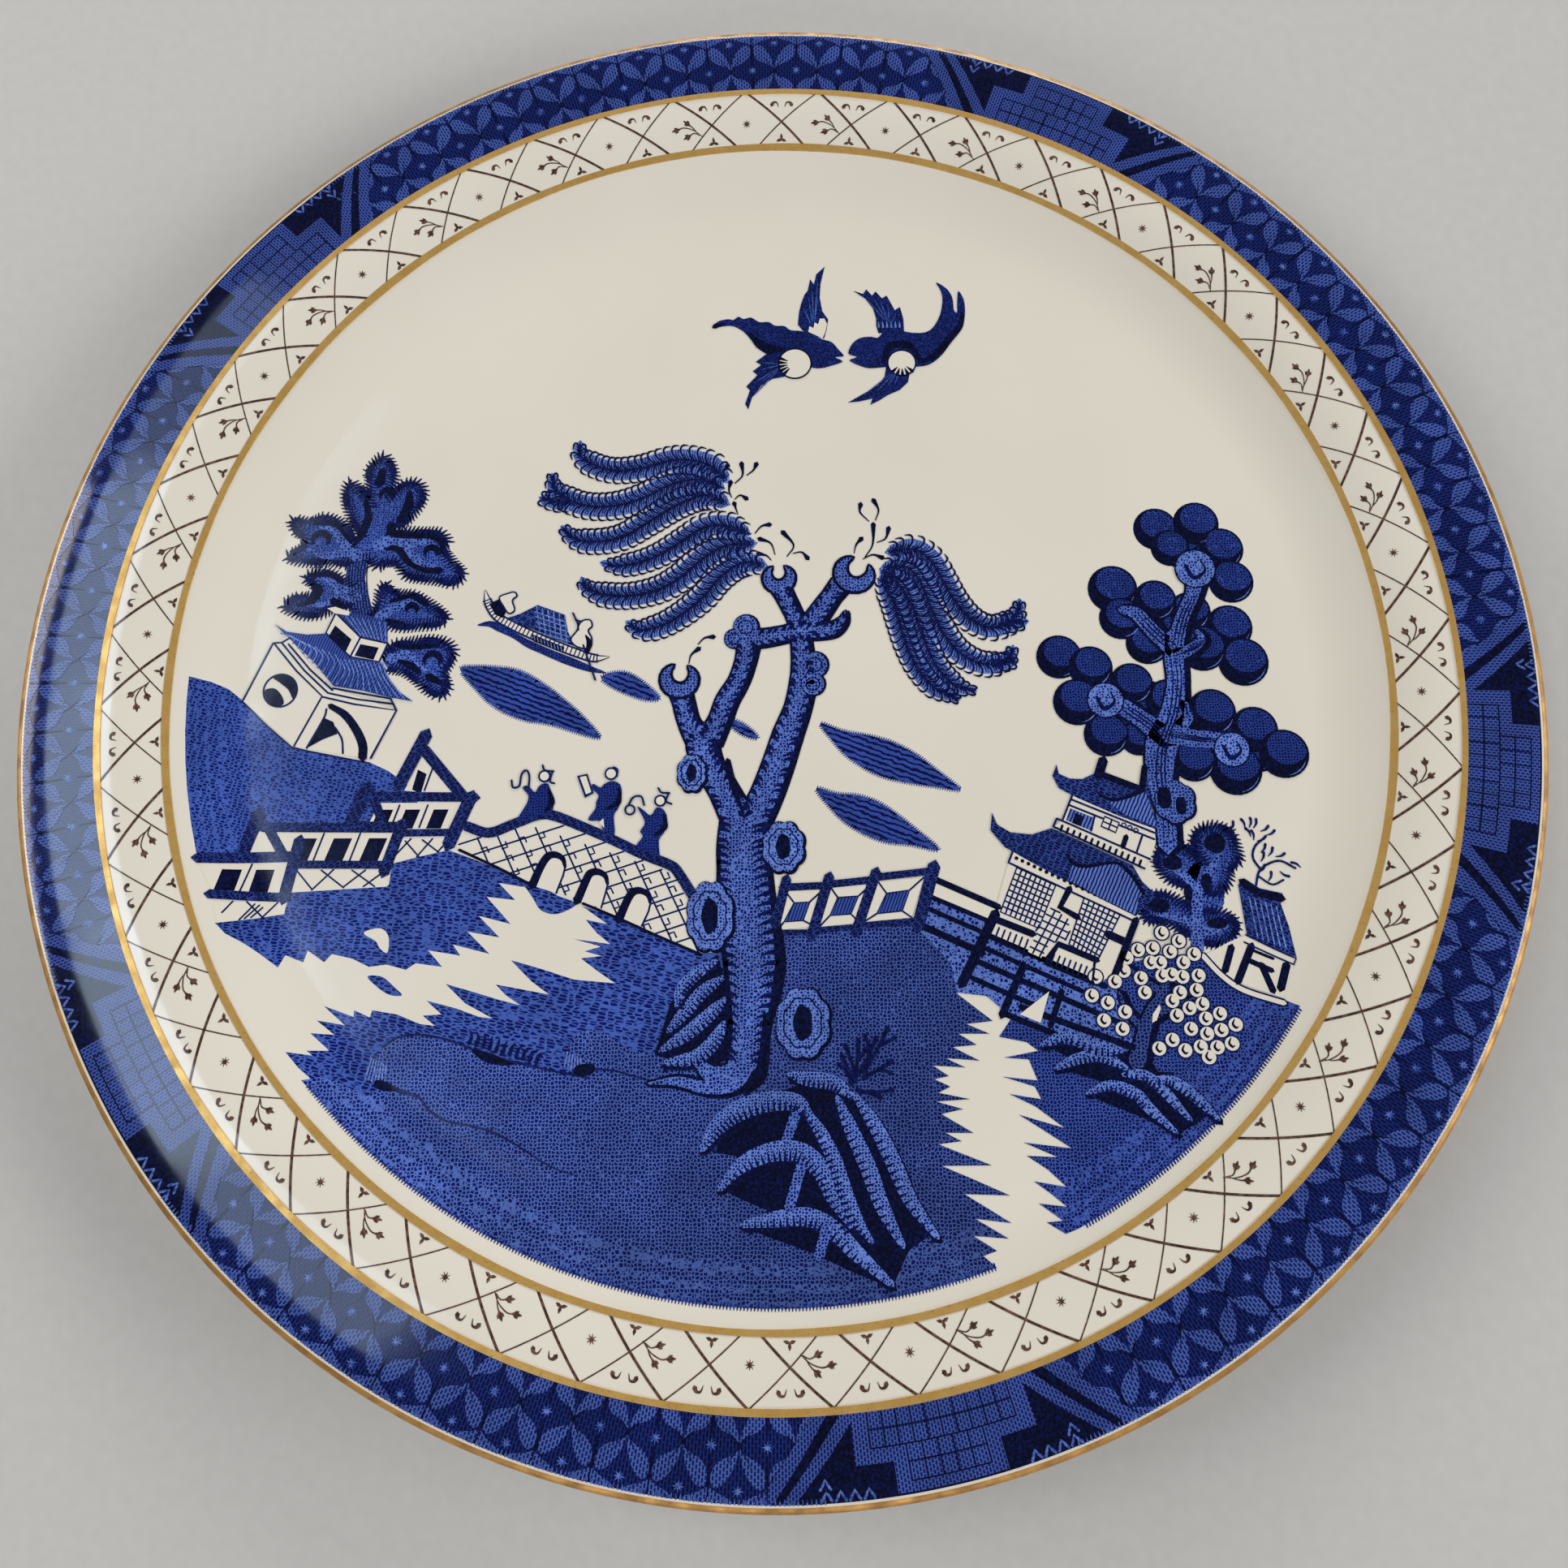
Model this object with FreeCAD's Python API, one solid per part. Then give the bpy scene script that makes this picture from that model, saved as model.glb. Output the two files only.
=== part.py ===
import FreeCAD, Part
import math
import os

# China dinner plate, in millimetres.  +Z is up, the origin is the centre of the
# foot ring on the surface that the plate stands on, and +Z is the axis of
# revolution.
#
# The plate is a fired clay body with a clear glaze all over it except for the
# strip of the foot that touches the table.  The decoration lies in the top of
# the glaze, flush with it: the landscape transfer in the well, the lattice
# band, the blue border and two gilt lines.  A third gilt line covers the lip.

# Driving dimensions of the cross-section.
PLATE_DIAMETER = 267.0
WELL_HEIGHT = 10.0
WELL_FLAT_RADIUS = 95.0
COVE_RADIUS = 26.0
COVE_TURN = 24.0
SHOULDER_RADIUS = 32.0
RIM_SLOPE = 2.0
EDGE_ROLL_RADIUS = 38.0
EDGE_FALL = 7.0
LIP_RADIUS = 1.5
LIP_FLATS = 12

# The underside, followed from the lip inwards to the centre.
UNDER_RIM_SLOPE = 4.0
UNDER_SHOULDER_START = 118.5
UNDER_SHOULDER_RADIUS = 30.0
UNDER_SHOULDER_SLOPE = 22.0
UNDER_COVE_RADIUS = 30.0
UNDER_COVE_SLOPE = 5.0
BASE_THICKNESS = 4.0

# The foot ring.
FOOT_OUTER_RADIUS = 92.0
FOOT_FILLET = 2.4
FOOT_CORNER = 1.2
FOOT_WALL_LEAN = 4.0
FOOT_CONTACT_WIDTH = 1.6
FOOT_BARE_HEIGHT = 1.0

# Coatings.
GLAZE_THICKNESS = 0.3
PRINT_THICKNESS = 0.12

# Radii where one piece of the decoration ends and the next begins.
SCENE_RADIUS = 105.3
INNER_LINE = (107.4, 108.5)
OUTER_LINE = (118.3, 119.4)
EDGE_LINE_START = 131.6

# The blue border is two transfers that alternate around the rim.  They are laid
# by hand, so the five fret panels are not quite evenly spaced.
FRET_SPAN = 29.0
FRET_CENTRES = (-8.3, 63.8, 140.0, 213.1, 282.2)

# A radius well outside the plate, and a height well above it.
FAR = 200.0

ORIGIN = FreeCAD.Vector(0, 0, 0)
UP = FreeCAD.Vector(0, 0, 1)


class Outline:
    """A chain of tangent lines and arcs in the XZ plane.

    The solid lies to the right of the direction of travel.  An inset moves the
    whole chain that far into the solid, which keeps coatings even.
    """

    def __init__(self, height, inset):
        self.r = 0.0
        self.z = height - inset
        self.heading = 0.0
        self.inset = inset
        self.edges = []

    def vector(self):
        return FreeCAD.Vector(self.r, 0, self.z)

    def straight(self, length):
        start = self.vector()
        self.r += length * math.cos(math.radians(self.heading))
        self.z += length * math.sin(math.radians(self.heading))
        self.edges.append(Part.LineSegment(start, self.vector()).toShape())

    def straight_to_radius(self, radius):
        self.straight((radius - self.r) / math.cos(math.radians(self.heading)))

    def turn(self, radius, angle):
        """Turn left by angle degrees, or right when angle is negative."""
        side = math.copysign(1.0, angle)
        radius = radius + side * self.inset
        toward = math.radians(self.heading + side * 90)
        centre_r = self.r + radius * math.cos(toward)
        centre_z = self.z + radius * math.sin(toward)
        points = [self.vector()]
        for part in (0.5, 1.0):
            away = toward + math.pi + math.radians(angle * part)
            self.r = centre_r + radius * math.cos(away)
            self.z = centre_z + radius * math.sin(away)
            points.append(self.vector())
        self.heading += angle
        self.edges.append(Part.Arc(*points).toShape())

    def turn_in_flats(self, radius, angle, flats):
        """Turn as a chain of equal flats that touch the circle of this radius."""
        side = math.copysign(1.0, angle)
        step = angle / flats
        half_flat = (radius + side * self.inset) * math.tan(math.radians(abs(step) / 2))
        for _ in range(flats):
            self.straight(half_flat)
            self.heading += step
            self.straight(half_flat)


def drop_of_turn(radius, angle_from_level):
    """Height that an arc uses between level and the given slope."""
    return radius * (1 - math.cos(math.radians(angle_from_level)))


def run_of_turn(radius, angle_from_level):
    """Radial distance that an arc uses between level and the given slope."""
    return radius * math.sin(math.radians(angle_from_level))


def top_of_plate(path):
    """Well floor, cove, shoulder, nearly level rim, rolled edge and lip."""
    inset_run = path.inset * math.sin(math.radians(RIM_SLOPE))
    roll_run = run_of_turn(EDGE_ROLL_RADIUS, RIM_SLOPE) + run_of_turn(EDGE_ROLL_RADIUS, EDGE_FALL)
    lip_run = LIP_RADIUS * (1 - math.sin(math.radians(EDGE_FALL)))
    path.straight(WELL_FLAT_RADIUS)
    path.turn(COVE_RADIUS, COVE_TURN)
    path.turn(SHOULDER_RADIUS, RIM_SLOPE - COVE_TURN)
    path.straight_to_radius(PLATE_DIAMETER / 2 - lip_run - roll_run + inset_run)
    path.turn(EDGE_ROLL_RADIUS, -RIM_SLOPE - EDGE_FALL)
    path.turn_in_flats(LIP_RADIUS, UNDER_RIM_SLOPE + EDGE_FALL - 180, LIP_FLATS)


def underside_of_rim(path):
    """From the lip in to the outer wall of the foot."""
    inset_run = path.inset * math.sin(math.radians(UNDER_RIM_SLOPE))
    foot_inset_run = path.inset * math.sin(math.radians(UNDER_COVE_SLOPE))
    path.straight_to_radius(UNDER_SHOULDER_START - inset_run)
    path.turn(UNDER_SHOULDER_RADIUS, UNDER_SHOULDER_SLOPE - UNDER_RIM_SLOPE)
    path.turn(UNDER_COVE_RADIUS, UNDER_COVE_SLOPE - UNDER_SHOULDER_SLOPE)
    path.straight_to_radius(FOOT_OUTER_RADIUS - foot_inset_run)


def foot_and_base(path):
    """The foot ring and the flat base inside it."""
    corner_turn = 90 - FOOT_WALL_LEAN
    corner_drop = drop_of_turn(FOOT_CORNER - path.inset, corner_turn)
    lean = math.cos(math.radians(FOOT_WALL_LEAN))

    path.turn(FOOT_FILLET, corner_turn - UNDER_COVE_SLOPE)
    path.straight((path.z - path.inset - corner_drop) / lean)
    path.turn(FOOT_CORNER, -corner_turn)
    path.straight(FOOT_CONTACT_WIDTH)
    path.turn(FOOT_CORNER, -corner_turn)
    base_height = WELL_HEIGHT - BASE_THICKNESS + path.inset
    fillet_rise = drop_of_turn(FOOT_FILLET + path.inset, corner_turn)
    path.straight((base_height - fillet_rise - path.z) / lean)
    path.turn(FOOT_FILLET, corner_turn)
    path.straight(path.r)


def plate_section(inset):
    """Half of the plate's cross-section, from the axis outwards."""
    path = Outline(WELL_HEIGHT, inset)
    top = path.vector()
    top_of_plate(path)
    underside_of_rim(path)
    foot_and_base(path)
    bottom = FreeCAD.Vector(0, 0, path.z)
    path.edges.append(Part.LineSegment(bottom, top).toShape())
    return Part.Face(Part.Wire(path.edges))


def rectangle(inner, outer, low, high):
    corners = [
        FreeCAD.Vector(inner, 0, low),
        FreeCAD.Vector(outer, 0, low),
        FreeCAD.Vector(outer, 0, high),
        FreeCAD.Vector(inner, 0, high),
    ]
    return Part.Face(Part.makePolygon(corners + corners[:1]))


def top_height(section, radius):
    """Height of the plate's upper surface at a radius."""
    upright = Part.LineSegment(FreeCAD.Vector(radius, 0, 0), FreeCAD.Vector(radius, 0, FAR))
    return section.common(upright.toShape()).BoundBox.ZMax


def contact_strip(section):
    """The bare strip of the foot, which the glaze stops at."""
    touching = [edge for edge in section.Edges if edge.BoundBox.ZMax < 1e-6]
    box = touching[0].BoundBox
    return rectangle(box.XMin, box.XMax, 0, FOOT_BARE_HEIGHT)


def print_section(envelope, skin, inner, outer):
    """The slice of the decorated skin between two radii of the upper surface."""
    low = top_height(envelope, max(inner, 0.01)) - LIP_RADIUS / 2
    return skin.common(rectangle(inner, outer, low, FAR))


def edge_line_section(envelope, coating):
    """Gilding over the upper quarter of the lip, as deep as the glaze."""
    low = top_height(envelope, EDGE_LINE_START) - LIP_RADIUS
    return coating.common(rectangle(EDGE_LINE_START, FAR, low, FAR))


def revolved(section, start=0.0, span=360.0):
    """Solids swept by every face of a section about the plate's axis."""
    solids = []
    for face in section.Faces:
        turned = face.copy()
        turned.rotate(ORIGIN, UP, start)
        solids.append(turned.revolve(ORIGIN, UP, span))
    return solids


def fret_panels(section):
    """One solid for each stepped fret panel of the border."""
    solids = []
    for centre in FRET_CENTRES:
        solids += revolved(section, centre - FRET_SPAN / 2, FRET_SPAN)
    return solids


def petal_panels(section):
    """One solid for each petal panel, which fills the way to the next fret."""
    following = FRET_CENTRES[1:] + (FRET_CENTRES[0] + 360,)
    solids = []
    for centre, next_centre in zip(FRET_CENTRES, following):
        start = centre + FRET_SPAN / 2
        solids += revolved(section, start, next_centre - FRET_SPAN / 2 - start)
    return solids


def build_nodes():
    envelope = plate_section(0.0)
    coating = envelope.cut(plate_section(GLAZE_THICKNESS)).cut(contact_strip(envelope))
    clay = envelope.cut(coating)
    skin = envelope.cut(plate_section(PRINT_THICKNESS))

    scene = print_section(envelope, skin, 0.0, SCENE_RADIUS)
    lattice = print_section(envelope, skin, INNER_LINE[1], OUTER_LINE[0])
    border = print_section(envelope, skin, OUTER_LINE[1], EDGE_LINE_START)
    inner_line = print_section(envelope, skin, *INNER_LINE)
    outer_line = print_section(envelope, skin, *OUTER_LINE)
    edge_line = edge_line_section(envelope, coating)

    glaze = coating
    for decoration in (scene, lattice, border, inner_line, outer_line, edge_line):
        glaze = glaze.cut(decoration)

    return {
        "china_body": revolved(clay),
        "clear_glaze": revolved(glaze),
        "landscape_print": revolved(scene),
        "lattice_band_print": revolved(lattice),
        "fret_border_print": fret_panels(border),
        "petal_border_print": petal_panels(border),
        "gilt_inner_line": revolved(inner_line),
        "gilt_outer_line": revolved(outer_line),
        "gilt_edge_line": revolved(edge_line),
    }


def main():
    os.makedirs("parts", exist_ok=True)
    for name, solids in build_nodes().items():
        shape = solids[0] if len(solids) == 1 else Part.makeCompound(solids)
        shape.exportStep("parts/" + name + ".step")
        box = shape.optimalBoundingBox(False, False)
        print(
            name,
            "solids", len(solids),
            "valid", shape.isValid(),
            "volume", round(shape.Volume, 1),
            "radius", round(box.XMax, 2),
            "heights", round(box.ZMin, 3), round(box.ZMax, 3),
        )


main()
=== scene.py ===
import math

import bpy
import numpy as np
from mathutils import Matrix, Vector
from mathutils.geometry import delaunay_2d_cdt


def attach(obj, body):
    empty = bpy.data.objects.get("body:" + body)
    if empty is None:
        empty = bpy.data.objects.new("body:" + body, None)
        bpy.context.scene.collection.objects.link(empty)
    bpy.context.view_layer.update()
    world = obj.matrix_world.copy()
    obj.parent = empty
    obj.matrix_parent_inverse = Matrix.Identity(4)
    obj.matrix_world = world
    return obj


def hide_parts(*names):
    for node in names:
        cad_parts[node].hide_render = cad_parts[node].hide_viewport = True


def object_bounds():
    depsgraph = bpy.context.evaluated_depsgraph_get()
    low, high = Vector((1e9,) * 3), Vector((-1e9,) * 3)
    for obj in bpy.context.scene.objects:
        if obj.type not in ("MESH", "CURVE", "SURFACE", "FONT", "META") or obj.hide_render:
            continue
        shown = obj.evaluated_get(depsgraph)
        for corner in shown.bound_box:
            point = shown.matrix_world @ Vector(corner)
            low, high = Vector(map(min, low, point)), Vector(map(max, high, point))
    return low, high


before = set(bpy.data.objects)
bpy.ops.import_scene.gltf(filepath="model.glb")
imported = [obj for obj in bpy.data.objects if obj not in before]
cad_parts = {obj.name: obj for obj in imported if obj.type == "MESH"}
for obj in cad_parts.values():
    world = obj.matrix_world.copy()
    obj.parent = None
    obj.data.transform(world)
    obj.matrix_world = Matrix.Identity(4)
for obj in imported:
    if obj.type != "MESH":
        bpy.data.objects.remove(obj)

# Lengths are in millimetres until a mesh is made.  +X is to the right of the
# landscape, +Y is towards its top and +Z is up, as in the CAD frame.
MM = 0.001
CAD_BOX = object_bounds()

# The plate's cross-section, with the same driving dimensions as the CAD part.
PLATE_RADIUS = (CAD_BOX[1][0] - CAD_BOX[0][0]) / 2 / MM
WELL_HEIGHT = 10.0
WELL_FLAT_RADIUS = 95.0
COVE = (26.0, 24.0)
SHOULDER_RADIUS = 32.0
RIM_SLOPE = 2.0
EDGE_ROLL_RADIUS = 38.0
EDGE_FALL = 7.0
LIP_RADIUS = 1.5
UNDER_RIM_SLOPE = 4.0
UNDER_SHOULDER_START = 118.5
UNDER_SHOULDER = (30.0, 22.0)
UNDER_COVE = (30.0, 5.0)
BASE_THICKNESS = 4.0
FOOT_OUTER_RADIUS = 92.0
FOOT_FILLET = 2.4
FOOT_CORNER = 1.2
FOOT_WALL_LEAN = 4.0
FOOT_CONTACT_WIDTH = 1.6
GLAZE_THICKNESS = 0.28
GILT_RAISED = 0.035
GILT_SUNK = 0.05

# Radii of the decoration, in millimetres.
HILL_EDGE = 105.0
LAND_EDGE = 104.6
LAND_FRINGE = 104.5
INNER_LINE = (107.35, 108.45)
CROSSING_RADIUS = 112.6
OUTER_LINE = (118.35, 119.45)
BORDER_START = 119.35
HATCH_RADIUS = 125.0
BORDER_END = 131.7
EDGE_LINE_START = 131.6

# How the decoration is shared out around the rim, in degrees.
FRET_CENTRES = (-8.3, 63.8, 140.0, 213.1, 282.2)
PETALS_START = 8.5
PETAL_PITCH = 3.93
COMB_PITCH = 0.30
LATTICE_CROSSINGS = 54
FIRST_CROSSING = 1.15
LAID_STRETCH = 2.55
LAID_FROM = 22
RIM_STEP = 0.6

# How the ink is laid.  A level is one coat of the drawing on top of another, and
# slabs of one level are staggered over twelve heights, so that no two of twelve in a row share a plane.
LEVEL_HEIGHT = 0.02
STAGGER = 12
STAGGER_STEP = 0.0012
INK_SINK = 0.05

# How finely curves are cut.  The plate's top is flat within CURVED_FROM.
CURVED_FROM = 94.0
CURVED_STEP = 1.5
STRAIGHT_STEP = 2.0
TURN_STEP = 12.0
TURN_CHORD = 0.7
ROUND_STEPS = 720
SHARP_ANGLE = 40
TINY = 1e-9


def sin(degrees):
    return math.sin(math.radians(degrees))


def cos(degrees):
    return math.cos(math.radians(degrees))


# ---------------------------------------------------------------- the profile

class Profile:
    """The outline of the plate, walked from the well, over the lip, to the base."""

    def __init__(self, inset):
        self.r = 0.0
        self.z = WELL_HEIGHT - inset
        self.heading = 0.0
        self.inset = inset
        self.points = [(self.r, self.z)]

    def straight(self, length):
        count = max(1, round(abs(length) / STRAIGHT_STEP))
        for _ in range(count):
            self.r += length / count * cos(self.heading)
            self.z += length / count * sin(self.heading)
            self.points.append((self.r, self.z))

    def straight_to_radius(self, radius):
        self.straight((radius - self.r) / cos(self.heading))

    def turn(self, radius, angle):
        """Turn left by angle degrees, or right when angle is negative."""
        side = math.copysign(1.0, angle)
        radius = radius + side * self.inset
        toward = self.heading + side * 90
        centre = (self.r + radius * cos(toward), self.z + radius * sin(toward))
        by_angle = abs(angle) / TURN_STEP
        by_length = radius * math.radians(abs(angle)) / TURN_CHORD
        count = max(3, round(max(by_angle, by_length)))
        for index in range(1, count + 1):
            away = toward + 180 + angle * index / count
            self.r = centre[0] + radius * cos(away)
            self.z = centre[1] + radius * sin(away)
            self.points.append((self.r, self.z))
        self.heading += angle


def walk_profile(inset=0.0):
    """Points of the outline, with the indices where the foot's bare strip starts and ends."""
    path = Profile(inset)
    roll_run = EDGE_ROLL_RADIUS * (sin(RIM_SLOPE) + sin(EDGE_FALL))
    lip_run = LIP_RADIUS * (1 - sin(EDGE_FALL))
    path.straight(WELL_FLAT_RADIUS)
    path.turn(COVE[0], COVE[1])
    path.turn(SHOULDER_RADIUS, RIM_SLOPE - COVE[1])
    path.straight_to_radius(PLATE_RADIUS - lip_run - roll_run + inset * sin(RIM_SLOPE))
    path.turn(EDGE_ROLL_RADIUS, -RIM_SLOPE - EDGE_FALL)
    path.turn(LIP_RADIUS, UNDER_RIM_SLOPE + EDGE_FALL - 180)
    path.straight_to_radius(UNDER_SHOULDER_START - inset * sin(UNDER_RIM_SLOPE))
    path.turn(UNDER_SHOULDER[0], UNDER_SHOULDER[1] - UNDER_RIM_SLOPE)
    path.turn(UNDER_COVE[0], UNDER_COVE[1] - UNDER_SHOULDER[1])
    path.straight_to_radius(FOOT_OUTER_RADIUS - inset * sin(UNDER_COVE[1]))

    corner_turn = 90 - FOOT_WALL_LEAN
    corner_drop = (FOOT_CORNER - inset) * (1 - cos(corner_turn))
    path.turn(FOOT_FILLET, corner_turn - UNDER_COVE[1])
    path.straight((path.z - inset - corner_drop) / cos(FOOT_WALL_LEAN))
    path.turn(FOOT_CORNER, -corner_turn)
    strip_start = len(path.points) - 1
    path.straight(FOOT_CONTACT_WIDTH)
    strip_end = len(path.points) - 1
    path.turn(FOOT_CORNER, -corner_turn)
    base_height = WELL_HEIGHT - BASE_THICKNESS + inset
    fillet_rise = (FOOT_FILLET + inset) * (1 - cos(corner_turn))
    path.straight((base_height - fillet_rise - path.z) / cos(FOOT_WALL_LEAN))
    path.turn(FOOT_FILLET, corner_turn)
    path.straight(path.r)
    return path.points, strip_start, strip_end


OUTLINE, STRIP_START, STRIP_END = walk_profile()
LIP_INDEX = max(range(STRIP_START), key=lambda index: OUTLINE[index][0])
TOP_R = np.array([point[0] for point in OUTLINE[:LIP_INDEX + 1]])
TOP_Z = np.array([point[1] for point in OUTLINE[:LIP_INDEX + 1]])
TOP_SLOPE = np.gradient(TOP_Z, TOP_R)


def radii(points):
    return np.hypot(points[:, 0], points[:, 1])


def top_height(points):
    """Height of the plate's upper surface at points in the plan."""
    return np.interp(radii(points), TOP_R, TOP_Z)


def top_normals(points):
    """Exact normals of the plate's upper surface at points in the plan."""
    radius = np.maximum(radii(points), 1e-6)
    slope = np.interp(radius, TOP_R, TOP_SLOPE)
    normals = np.column_stack(
        (-slope * points[:, 0] / radius, -slope * points[:, 1] / radius, np.ones(len(points)))
    )
    return normals / np.linalg.norm(normals, axis=1)[:, None]


# ------------------------------------------------------------------ materials

class Nodes:
    """A short way to write a node tree."""

    def __init__(self, material):
        material.use_nodes = True
        self.tree = material.node_tree
        self.shader = self.tree.nodes["Principled BSDF"]
        self.places = {}

    def add(self, kind, settings=None, **inputs):
        node = self.tree.nodes.new("ShaderNode" + kind)
        for name, value in (settings or {}).items():
            setattr(node, name, value)
        for name, value in inputs.items():
            self.put(node.inputs[name.replace("_", " ")], value)
        return node

    def put(self, socket, value):
        if isinstance(value, bpy.types.NodeSocket):
            self.tree.links.new(value, socket)
        else:
            socket.default_value = value

    def math(self, operation, first, second=0.0):
        node = self.add("Math", {"operation": operation})
        self.put(node.inputs[0], first)
        self.put(node.inputs[1], second)
        return node.outputs[0]

    def millimetres(self, turn=0.0, stretch=(1, 1, 1)):
        """Object coordinates in millimetres, turned about Z and stretched."""
        place = self.add("TexCoord").outputs["Object"]
        scale = self.add("Mapping", Vector=place, Scale=(1000, 1000, 1000))
        scale.inputs["Rotation"].default_value = (0, 0, math.radians(-turn))
        finer = self.add("Mapping", Vector=scale.outputs[0], Scale=stretch)
        return finer.outputs[0]

    def polar_millimetres(self, radius):
        """X runs outwards and Y runs around the rim, both in millimetres."""
        place = self.add("SeparateXYZ", Vector=self.millimetres())
        x, y = place.outputs[0], place.outputs[1]
        angle = self.math("ARCTAN2", y, x)
        across = self.math("SQRT", self.math("ADD", self.math("MULTIPLY", x, x),
                                             self.math("MULTIPLY", y, y)))
        around = self.math("MULTIPLY", angle, radius)
        return self.add("CombineXYZ", X=across, Y=around).outputs[0]

    def noise(self, vector, scale, detail):
        return self.add("TexNoise", Vector=vector, Scale=scale, Detail=detail).outputs["Fac"]

    def spread(self, value, low, high, to_low=0.0, to_high=1.0):
        node = self.add("MapRange", Value=value)
        node.inputs["From Min"].default_value = low
        node.inputs["From Max"].default_value = high
        node.inputs["To Min"].default_value = to_low
        node.inputs["To Max"].default_value = to_high
        return node.outputs["Result"]

    def mix(self, factor, first, second, blend="MIX"):
        node = self.add("Mix", {"data_type": "RGBA", "blend_type": blend})
        self.put(node.inputs[0], factor)
        self.put(node.inputs[6], first)
        self.put(node.inputs[7], second)
        return node.outputs[2]


def linear(red, green, blue):
    """A linear colour from 0-255 display values."""
    def channel(value):
        value /= 255
        return value / 12.92 if value <= 0.04045 else ((value + 0.055) / 1.055) ** 2.4
    return (channel(red), channel(green), channel(blue), 1.0)


def finish_glazed(nodes, colour, roughness=0.1):
    """Gloss of a fired clear glaze, with its faint waviness."""
    where = nodes.millimetres()
    wave = nodes.noise(where, 0.09, 1.0)
    bump = nodes.add("Bump", Height=wave, Strength=0.6, Distance=0.00006)
    smear = nodes.noise(where, 0.22, 3.0)
    nodes.put(nodes.shader.inputs["Base Color"], colour)
    nodes.put(nodes.shader.inputs["Roughness"],
              nodes.spread(smear, 0.3, 0.7, roughness * 0.8, roughness * 1.3))
    nodes.put(nodes.shader.inputs["Normal"], bump.outputs[0])
    nodes.shader.inputs["IOR"].default_value = 1.5


def white_china():
    """Warm white china with barely visible tone drift and pin specks."""
    material = bpy.data.materials.new("glazed_white_china")
    nodes = Nodes(material)
    where = nodes.millimetres()
    drift = nodes.spread(nodes.noise(where, 0.02, 2.0), 0.3, 0.7)
    tone = nodes.mix(drift, linear(236, 227, 210), linear(231, 222, 204))
    cells = nodes.add("TexVoronoi", Vector=where, Scale=0.13)
    speck = nodes.math("LESS_THAN", cells.outputs["Distance"], 0.012)
    rare = nodes.math("GREATER_THAN", nodes.noise(where, 0.31, 0.0), 0.62)
    speck = nodes.math("MULTIPLY", nodes.math("MULTIPLY", speck, rare), 0.35)
    finish_glazed(nodes, nodes.mix(speck, tone, linear(120, 100, 80)), 0.09)
    return material


def bisque():
    """Bare fired clay on the foot."""
    material = bpy.data.materials.new("bare_foot_clay")
    nodes = Nodes(material)
    where = nodes.millimetres()
    grit = nodes.noise(where, 2.2, 4.0)
    colour = nodes.mix(grit, linear(214, 204, 184), linear(176, 162, 140))
    nodes.put(nodes.shader.inputs["Base Color"], colour)
    nodes.shader.inputs["Roughness"].default_value = 0.75
    bump = nodes.add("Bump", Height=grit, Strength=0.5, Distance=0.0001)
    nodes.put(nodes.shader.inputs["Normal"], bump.outputs[0])
    return material


def ink(name, dark, light, pattern, amount, darkening=None):
    """Printed ink: a light and a dark tone shared out by an engraved pattern.

    A darkening is the direction it runs in, where it starts and ends, and the strength it ends at.
    """
    material = bpy.data.materials.new(name)
    nodes = Nodes(material)
    engraving = pattern(nodes, amount)
    load = nodes.spread(nodes.noise(nodes.millimetres(), 0.12, 3.0), 0.3, 0.7, 0.78, 1.12)
    if darkening:
        turn, start, end, last = darkening
        along = nodes.add("SeparateXYZ", Vector=nodes.millimetres(turn)).outputs[0]
        load = nodes.math("MULTIPLY", load, nodes.spread(along, start, end, 1.0, last))
    tone = nodes.mix(engraving, linear(*light), linear(*dark))
    strength = nodes.add("CombineColor", Red=load, Green=load, Blue=load).outputs[0]
    tone = nodes.mix(1.0, tone, strength, "MULTIPLY")
    finish_glazed(nodes, tone)
    return material


def network(size, turn=0.0, long=1.0):
    """Dark dots with a light net between them; long dots lie along the turned X."""
    def pattern(nodes, amount):
        where = nodes.millimetres(turn, (1 / long, 1, 1))
        cells = nodes.add("TexVoronoi", {"feature": "DISTANCE_TO_EDGE"}, Vector=where, Scale=1 / size,
                          Randomness=0.65)
        return nodes.spread(cells.outputs["Distance"], amount * 0.3 - 0.06, amount * 0.3 + 0.06, 0, 1)
    return pattern


def outward_dashes(length, pitch):
    """Rows of dashes that point outwards from the plate's centre."""
    def pattern(nodes, amount):
        where = nodes.polar_millimetres(HATCH_RADIUS)
        bricks = nodes.add("TexBrick", Vector=where, Scale=1.0)
        bricks.inputs["Brick Width"].default_value = length
        bricks.inputs["Row Height"].default_value = pitch
        bricks.inputs["Mortar Size"].default_value = pitch * amount / 2
        bricks.inputs["Mortar Smooth"].default_value = 0.4
        return nodes.math("SUBTRACT", 1.0, bricks.outputs["Fac"])
    return pattern


def lines(turn, pitch, wobble=0.6):
    """Parallel engraved lines."""
    def pattern(nodes, amount):
        where = nodes.millimetres(turn)
        drift = nodes.spread(nodes.noise(where, 0.8, 1.0), 0.3, 0.7, -wobble, wobble)
        along = nodes.add("SeparateXYZ", Vector=where).outputs[1]
        phase = nodes.math("ADD", nodes.math("MULTIPLY", along, 2 * math.pi / pitch), drift)
        return nodes.spread(nodes.math("SINE", phase), 0.5 - amount * 1.4, 1.0 - amount * 1.4, 0, 1)
    return pattern


def grain(size):
    """Uneven solid ink, as in the darkest engraving."""
    def pattern(nodes, amount):
        return nodes.spread(nodes.noise(nodes.millimetres(), 1 / size, 3.0),
                            0.3 + amount * 0.2, 0.5 + amount * 0.2, 0, 1)
    return pattern


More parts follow.
